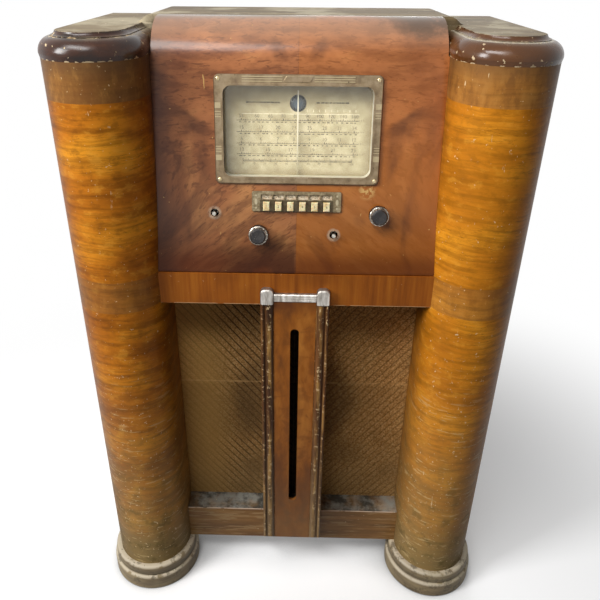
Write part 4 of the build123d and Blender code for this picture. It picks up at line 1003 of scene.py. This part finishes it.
paper = clouded("label_card_paper", 260.0, 4.0, [(0.34, "c9ad8a"), (0.66, "ecdcc0")], 0.8, 0.04, 0.5)
label_height, label_margin = 7.5 * MM, 5.0 * MM
label_level = plate_high.y - label_margin - label_height / 2
card_width, card_height = key_pitch - 2.6 * MM, label_height + 1.6 * MM
stations = (620, 740, 860, 970, 1120, 1340)


def card(bm):
    """A thin paper card, slightly bowed."""
    steps, rows = 8, []
    for edge in (-card_height / 2, card_height / 2):
        rows.append([bm.verts.new((card_width * (s / steps - 0.5), edge,
                                   0.12 * MM + 0.3 * MM * sin(pi * s / steps)))
                     for s in range(steps + 1)])
    for s in range(steps):
        quad(bm, rows[0][s], rows[0][s + 1], rows[1][s + 1], rows[1][s])


for k in range(key_count):
    x = (k - (key_count - 1) / 2) * key_pitch
    name = "label_card_%d" % (k + 1)
    new_piece(name, mesh_of(name, card), paper, "cabinet", on_panel(x, label_level))
    key_low, key_high = panel_span("push_button_%d" % (k + 1))
    ink = mesh_of(name + "_number", lambda bm: print_text(bm, str(stations[k]), 5.0 * MM, 0, 0))
    new_piece(name + "_number", ink, brown_ink, "cabinet",
              on_panel(x, label_level, 0.50 * MM))
    mark = mesh_of("key_number_%d" % (k + 1), lambda bm: print_text(bm, str(k + 1), 5.2 * MM, 0, 0))
    key_middle = (key_low + key_high) / 2
    new_piece("key_number_%d" % (k + 1), mark, brown_ink, "button_%d" % (k + 1),
              on_panel(key_middle.x, key_middle.y, key_high.z + 0.02 * MM))


# Knobs: dark brown moulded phenolic with a dished face, pressed on the shafts.
# A plated ring sits on the step round each one.
phenolic, node, place, cloud, colour = mottled("moulded_phenolic", 90.0, 5.0, [
    (0.34, "131010"), (0.52, "1f1c1c"), (0.72, "37322f")])
scuffs = specks(node, place, 420.0, 0.64)
gloss = node("MapRange", cloud, 0.3, 0.7, 0.26, 0.5)
colour = coats(node, colour, [(scuffs, 0.5, "8c8378")])
shade(node, colour, gloss, [(cloud, 0.05, 0.5)])
paint(phenolic, "volume_knob", "tuning_knob", "button_block", "valve_bases", "eye_base")

worn_chrome = clouded("worn_chrome_ring", 330.0, 5.0, [
    (0.34, "4a453e"), (0.50, "878177"), (0.68, "cfcac0")], (0.38, 0.16), 0.03, 0.5, {"Metallic": 1.0})
for control in ("volume", "tuning"):
    knob_low, knob_high = panel_span(control + "_knob")
    x, height = (knob_low.x + knob_high.x) / 2, (knob_low.y + knob_high.y) / 2
    ring = [(14.4, 8.0), (15.0, 8.6), (14.8, 9.9), (13.9, 10.7), (13.1, 10.8), (12.9, 14.6), (12.6, 15.3),
            (12.2, 15.3), (12.7, 8.0), (14.4, 8.0)]
    ring = turned_mesh(control + "_knob_ring", [(r * MM, z * MM) for r, z in ring], 64)
    new_piece(control + "_knob_ring", ring, worn_chrome, control + "_control",
              on_panel(x, height, knob_low.z))
    # A raised pointer line on the dished face
    notch = [(x * MM, y * MM) for x, y in ((-0.5, 4), (0.5, 4), (0.5, 8.5), (-0.5, 8.5))]
    notch = plate_mesh(control + "_knob_notch", notch, 0.35 * MM, 0.1 * MM)
    new_piece(control + "_knob_notch", notch, phenolic, control + "_control",
              on_panel(x, height, knob_high.z - 0.75 * MM))


# Shafts, the pointer's rod, the control bodies and the folded bracket: turned
# and pressed steel, bright where turned, zinc grey and spotted where plated.
material, node, place = surface("turned_shaft_steel")
lathe = node("TexNoise", {
    "Vector": node("Mapping", {"Vector": place, "Scale": (1, 14, 1)}), "Scale": 220.0, "Detail": 3.0})
colour = node("ValToRGB", lathe, stops=[(0.35, "8f8a7e"), (0.65, "d9d5ca")])
gloss = node("MapRange", lathe, 0.3, 0.7, 0.42, 0.24)
colour = coats(node, colour, [(specks(node, place, 300.0, 0.66), 1.0, "5e4630")])
shade(node, colour, gloss, [(lathe, 0.03, 0.5)], {"Metallic": 1.0})
paint(material, "tone_shaft", "band_shaft", "volume_shaft", "tuning_shaft", "pointer_rail", "dial_drum")

zinc_steel, node, place, cloud, colour = mottled("zinc_plated_steel", 16.0, 6.0, [
    (0.32, "5f5d56"), (0.52, "7f7d75"), (0.74, "99978e")])
rust = blots(node, place, 34.0, 0.58, 0.70, 7.0)
dust = node("Math", facing(node, "Z", 0.6, 1.0), 0.7)
gloss = node("MapRange", rust, 0.0, 1.0, 0.45, 0.8)
colour = coats(node, colour, [(rust, 0.75, "6a4527"), (dust, 1.0, "7d776a")])
shade(node, colour, gloss, [(cloud, 0.12, 0.4)], {"Metallic": 0.8})
paint(zinc_steel, "chassis", "dial_bracket", "control_bodies")


# Valves: glass bulbs on moulded bases. Inside each one a grey plate stands
# between two mica discs, and the getter has silvered the top of the glass.
def islands(node_name):
    """Lowest and highest corner, in the panel's axes, of each solid of a CAD node."""
    bm = bmesh.new()
    bm.from_mesh(frame["nodes"][node_name].data)
    bmesh.ops.remove_doubles(bm, verts=bm.verts, dist=0.001 * MM)
    left, found = set(bm.verts), []
    while left:
        edge, group = [left.pop()], []
        while edge:
            vert = edge.pop()
            group.append(vert)
            for link in vert.link_edges:
                other = link.other_vert(vert)
                if other in left:
                    left.remove(other)
                    edge.append(other)
        found.append(span(along_panel(group)))
    bm.free()
    return sorted(found, key=lambda box: (round(box[0].z, 4), round(box[0].x, 4)))


def upright(x, height, proud):
    """Matrix of a place on the chassis deck, its Z up the slope of the panel."""
    return on_panel(x, height, proud) @ Matrix.Rotation(radians(-90), 4, "X")


bulbs = islands("valve_bulbs")
material, node, place = surface("valve_glass_silvered")
height = panel_axis(node, place, up_slope)
bulb_top = bulbs[0][1].y
ragged = node("TexNoise", {"Vector": place, "Scale": 60.0, "Detail": 3.0})
edge = node("Math", height, node("Math", ragged, 14 * MM), operation="ADD")
getter = node("MapRange", edge, bulb_top - 8 * MM, bulb_top - 3 * MM)
colour = node("MixRGB", getter, "f2f2ec", "8d8a86")
clear = node("MapRange", getter, 0.0, 1.0, 1.0, 0.0)
film = node("TexNoise", {"Vector": place, "Scale": 45.0, "Detail": 4.0})
gloss = node("MapRange", film, 0.3, 0.75, 0.02, 0.16)
bulb = node("BsdfPrincipled",
            {"Base Color": colour, "Metallic": getter, "Roughness": gloss, "IOR": 1.5,
             "Transmission Weight": clear})
open_to_lamps = node("BsdfTransparent", (0.85, 0.85, 0.82, 1))
lamps = node("Math", node("LightPath").outputs["Is Shadow Ray"], clear)
node("OutputMaterial", node("MixShader", lamps, bulb, open_to_lamps))
paint(material, "valve_bulbs", "eye_tube")

plate_metal = clouded("carbonised_valve_plate", 120.0, 4.0, [
    (0.35, "26262a"), (0.65, "4c4b4e")], 0.55, 0.05, 0.5, {"Metallic": 0.6})
mica = clouded("mica_disc", 200.0, 3.0, [(0.35, "b3a88f"), (0.65, "e3dcc9")], 0.3, 0, 0)
plate_outline = [(0, 14), (7.5, 14), (7.5, 15), (8.2, 15), (8.2, 24), (7.6, 24.6), (7.6, 26), (8.2, 26.6),
                 (8.2, 38), (7.5, 38), (7.5, 39), (0, 39)]
mica_outline = [(0, 0), (10.4, 0), (10.4, 0.5), (0, 0.5)]
anode = turned_mesh("anode", [(r * MM, z * MM) for r, z in plate_outline], 24)
disc = turned_mesh("mica", [(r * MM, z * MM) for r, z in mica_outline], 24)
pillar = turned_mesh("pillar", [(0, 0), (0.5 * MM, 0), (0.5 * MM, 44 * MM), (0, 44 * MM)], 8)
seats = [upright((low.x + high.x) / 2, low.y, (low.z + high.z) / 2) for low, high in bulbs]
new_piece("valve_plates", copies("valve_plates", anode, seats), plate_metal, "cabinet")
places = [seat @ Matrix.Translation((0, 0, z * MM)) for seat in seats for z in (13.4, 39.2)]
new_piece("valve_micas", copies("valve_micas", disc, places), mica, "cabinet")
places = [seat @ Matrix.Translation((x * MM, 0, 0.5 * MM)) for seat in seats for x in (-9.2, 9.2)]
new_piece("valve_supports", copies("valve_supports", pillar, places), zinc_steel, "cabinet")
for mesh in (anode, disc, pillar):
    bpy.data.meshes.remove(mesh)


# Screening cans and tuning capacitor: spun and pressed aluminium, dull with a
# grey bloom, standing on the deck.
material, node, place, cloud, colour = mottled("dull_aluminium", 24.0, 6.0, [
    (0.32, "757674"), (0.52, "989996"), (0.74, "b3b4b0")])
spots = specks(node, place, 150.0, 0.68)
gloss = node("MapRange", cloud, 0.3, 0.7, 0.5, 0.32)
colour = coats(node, colour, [
    (spots, 0.6, "63605a"),
    (facing(node, "Z", 0.7, 1.0), 0.6, "8a8475")])
shade(node, colour, gloss, [(cloud, 0.10, 0.4)], {"Metallic": 0.9})
paint(material, "screen_cans", "gang_frame", "gang_rotor")


# Transformers: stacks of blackened steel laminations between japanned bells,
# drawn with coarser leaves than the real half millimetre so that they show.
material, node, place, _, colour = mottled("laminated_core_japan", 40.0, 5.0, [
    (0.34, "1f1d1b"), (0.66, "46403a")])
leaf_pitch = 1.4 * MM
leaves = node("Math", node("Math", panel_axis(node, place, outward), 2 * pi / leaf_pitch),
              operation="SINE")
colour = coats(node, colour, [
    ((leaves, 0.4, 0.9), 0.35, "6a5c4c"),
    (facing(node, "Z", 0.7, 1.0), 0.6, "7c7568")])
shade(node, colour, 0.5, [(leaves, 0.12, 0.5)], {"Metallic": 0.3})
paint(material, "power_transformer", "output_transformer")


# Loudspeaker: a pressed basket and field-coil pot in black crackle, a grey-brown
# paper cone with moulded rings, bolted through the baffle.
material, node, place, _, colour = mottled("black_crackle_paint", 30.0, 5.0, [
    (0.34, "1c1b1a"), (0.68, "3f3c38")])
crackle = node("TexVoronoi", {"Vector": place, "Scale": 420.0}, feature="DISTANCE_TO_EDGE")
colour = coats(node, colour, [(facing(node, "Z", 0.5, 1.0), 0.7, "8a8374")])
shade(node, colour, 0.55, [(crackle, 0.25, 0.5)])
paint(material, "speaker_basket", "speaker_magnet")

material, node, place, fibres, colour = mottled("felted_cone_paper", 180.0, 5.0, [
    (0.32, "4a4036"), (0.68, "756858")])
local = node("SeparateXYZ", node("VectorMath", place, tuple(speaker_middle), operation="SUBTRACT"))
flat = node("CombineXYZ", {"X": local.outputs["X"], "Z": local.outputs["Z"]})
reach = node("VectorMath", flat, operation="LENGTH").outputs["Value"]
rings = node("Math", node("Math", reach, 2 * pi / (9 * MM)), operation="SINE")
shade(node, colour, 0.85, [(rings, 0.5, 0.6), (fibres, 0.15, 0.5)])
paint(material, "speaker_cone")


def bolt_end(bm):
    """Hexagon nut on a washer with the bolt's rounded end through it, on local Z = 0."""
    hexagon = [(4.1, 0.9), (4.6, 1.2), (4.6, 3.8), (4.1, 4.1)]
    for outline, sides in ((((5.6, 0.0), (5.6, 0.9), (3.0, 0.9)), 28), (hexagon, 6),
                           (((2.0, 4.0), (2.0, 6.2), (1.5, 6.8), (0.0, 6.9)), 16)):
        points = [(0.0, outline[0][1]), *outline, (0.0, outline[-1][1])]
        part = turned_mesh("bolt_part", [(r * MM, z * MM) for r, z in points], sides)
        bm.from_mesh(part)
        bpy.data.meshes.remove(part)


nut = mesh_of("bolt_end", bolt_end)
bolt_ring = 123 * MM * sin(radians(45))
back_face = speaker_low.y + 3.0 * MM
towards_back = Matrix.Rotation(radians(-90), 4, "X")
places = [Matrix.Translation((side * bolt_ring, back_face, speaker_middle.z + up * bolt_ring))
          @ towards_back for side in (-1, 1) for up in (-1, 1)]
new_piece("speaker_bolts", copies("speaker_bolts", nut, places), zinc_steel, "cabinet")


# Woodscrews: slotted steel, rusted brown, driven into the rear rails and the
# baffle.
material = clouded("rusted_woodscrew", 260.0, 5.0, [
    (0.32, "3a2a1c"), (0.52, "6b5642"), (0.72, "8d8273")], (0.65, 0.4), 0.06, 0.6, {"Metallic": 0.7})
wood_head = slotted_head(4.2 * MM, 0.9 * MM, 0.5 * MM)
rails_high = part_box("rear_rails")[1]
baffle_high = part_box("baffle")[1]
turns_of = Random(8)
spots = [(side * x, rails_high.y, z) for side in (-1, 1)
         for x, z in ((0.318, 0.074), (0.318, 0.098), (0.318, 0.972), (0.318, 0.996), (0.12, 1.026))]
spots += [(side * 0.172, baffle_high.y, z) for side in (-1, 1) for z in (0.10, 0.30, 0.50, 0.66)]
places = [Matrix.Translation(spot) @ towards_back @ Matrix.Rotation(turns_of.uniform(0, pi), 4, "Z")
          for spot in spots]
new_piece("woodscrews", copies("woodscrews", wood_head, places), material, "cabinet")
for mesh in (nut, wood_head, head):
    bpy.data.meshes.remove(mesh)


# Grommet: black rubber pressed into the back of the chassis, with the perished
# bloom of age.
material = clouded("perished_rubber", 120.0, 5.0, [(0.35, "1d1b1a"), (0.68, "4b4742")], 0.75, 0.10, 0.6)
paint(material, "cord_grommet")


# Floor: a plain white studio sheet. Near the cabinet it takes the soft shadow,
# and further out it turns to plain white.
def plainly_seen(node):
    """Mask of the rays that see plain white: the camera's, and those through gloss and glass."""
    rays = node("LightPath").outputs
    seen = node("Math", rays["Is Camera Ray"], rays["Is Glossy Ray"], operation="MAXIMUM")
    return node("Math", seen, rays["Is Transmission Ray"], operation="MAXIMUM")


floor_mesh = bpy.data.meshes.new("studio_floor")
reach = 6.0
floor_mesh.from_pydata([(x * reach, y * reach, 0) for x, y in ((-1, -1), (1, -1), (1, 1), (-1, 1))],
                       [], [(0, 1, 2, 3)])
material, node, place = surface("white_studio_sheet")
seen = plainly_seen(node)
away = node("MapRange", node("VectorMath", place, operation="LENGTH").outputs["Value"], 0.55, 1.35)
closed_in = node("MapRange", node("AmbientOcclusion", {"Distance": 0.11}).outputs["AO"], 0.20, 0.84, 0.20,
                 1.0)
white = node("MixRGB", closed_in, (0.12, 0.12, 0.12, 1), (0.88, 0.88, 0.88, 1))
paper = node("BsdfDiffuse", node("MixRGB", seen, (0.16, 0.16, 0.16, 1), white))
lift = node("Emission", {
    "Color": (1, 1, 1, 1), "Strength": node("Math", node("Math", seen, closed_in), 0.22)})
near = node("AddShader", paper, lift)
far = node("Emission", {"Color": (1, 1, 1, 1), "Strength": 1.0})
mixed = node("MixShader", node("Math", seen, away), near, far)
node("OutputMaterial", {"Surface": mixed})
floor_mesh.materials.append(material)
placed("studio_floor", floor_mesh)


# Studio: a plain grey world, seen as white by the camera, a large soft light on
# the left, one high in front that the roll and crowns reflect, and one behind.
world = bpy.data.worlds.new("studio")
bpy.context.scene.world = world
world.use_nodes = True
world.node_tree.nodes.clear()
node = adder(world.node_tree)
soft = node("Background", {"Color": (1, 1, 1, 1), "Strength": 0.05})
plain = node("Background", {"Color": (1, 1, 1, 1), "Strength": 1.0})
node("OutputWorld", {"Surface": node("MixShader", plainly_seen(node), soft, plain)})


def soft_light(name, place, target, width, height, power):
    """Rectangular soft box at a place, turned to its target."""
    data = bpy.data.lights.new(name, "AREA")
    data.shape = "RECTANGLE"
    data.size, data.size_y, data.energy = width, height, power
    light = placed(name, data)
    light.location = place
    light.rotation_euler = (Vector(target) - Vector(place)).to_track_quat("-Z", "Y").to_euler()


soft_light("key_left", (-1.85, -1.05, 1.8), (0, 0, 0.60), 0.7, 0.9, 42)
soft_light("high_front", (-0.80, -1.15, 2.6), (0, -0.05, 0.6), 1.5, 0.6, 40)
soft_light("rear", (0.5, 2.3, 0.75), (0, 0.1, 0.55), 1.2, 0.9, 32)


# Camera: at chest height in front, looking down at the cabinet, with a lens a
# little longer than normal.
camera_data = bpy.data.cameras.new("camera")
camera_data.sensor_width = 36.0
camera_data.lens = 36.42
camera_data.shift_x = 0.0221
camera_data.shift_y = -0.0515
camera = placed("camera", camera_data)
camera.matrix_world = (
    Matrix.Translation((0.0050, -0.9733, 1.1328)) @ Matrix.Rotation(0.0221, 4, "Z")
    @ Matrix.Rotation(radians(63.05), 4, "X") @ Matrix.Rotation(0.0071, 4, "Z"))
bpy.context.scene.camera = camera
bpy.context.scene.view_settings.view_transform = "Standard"
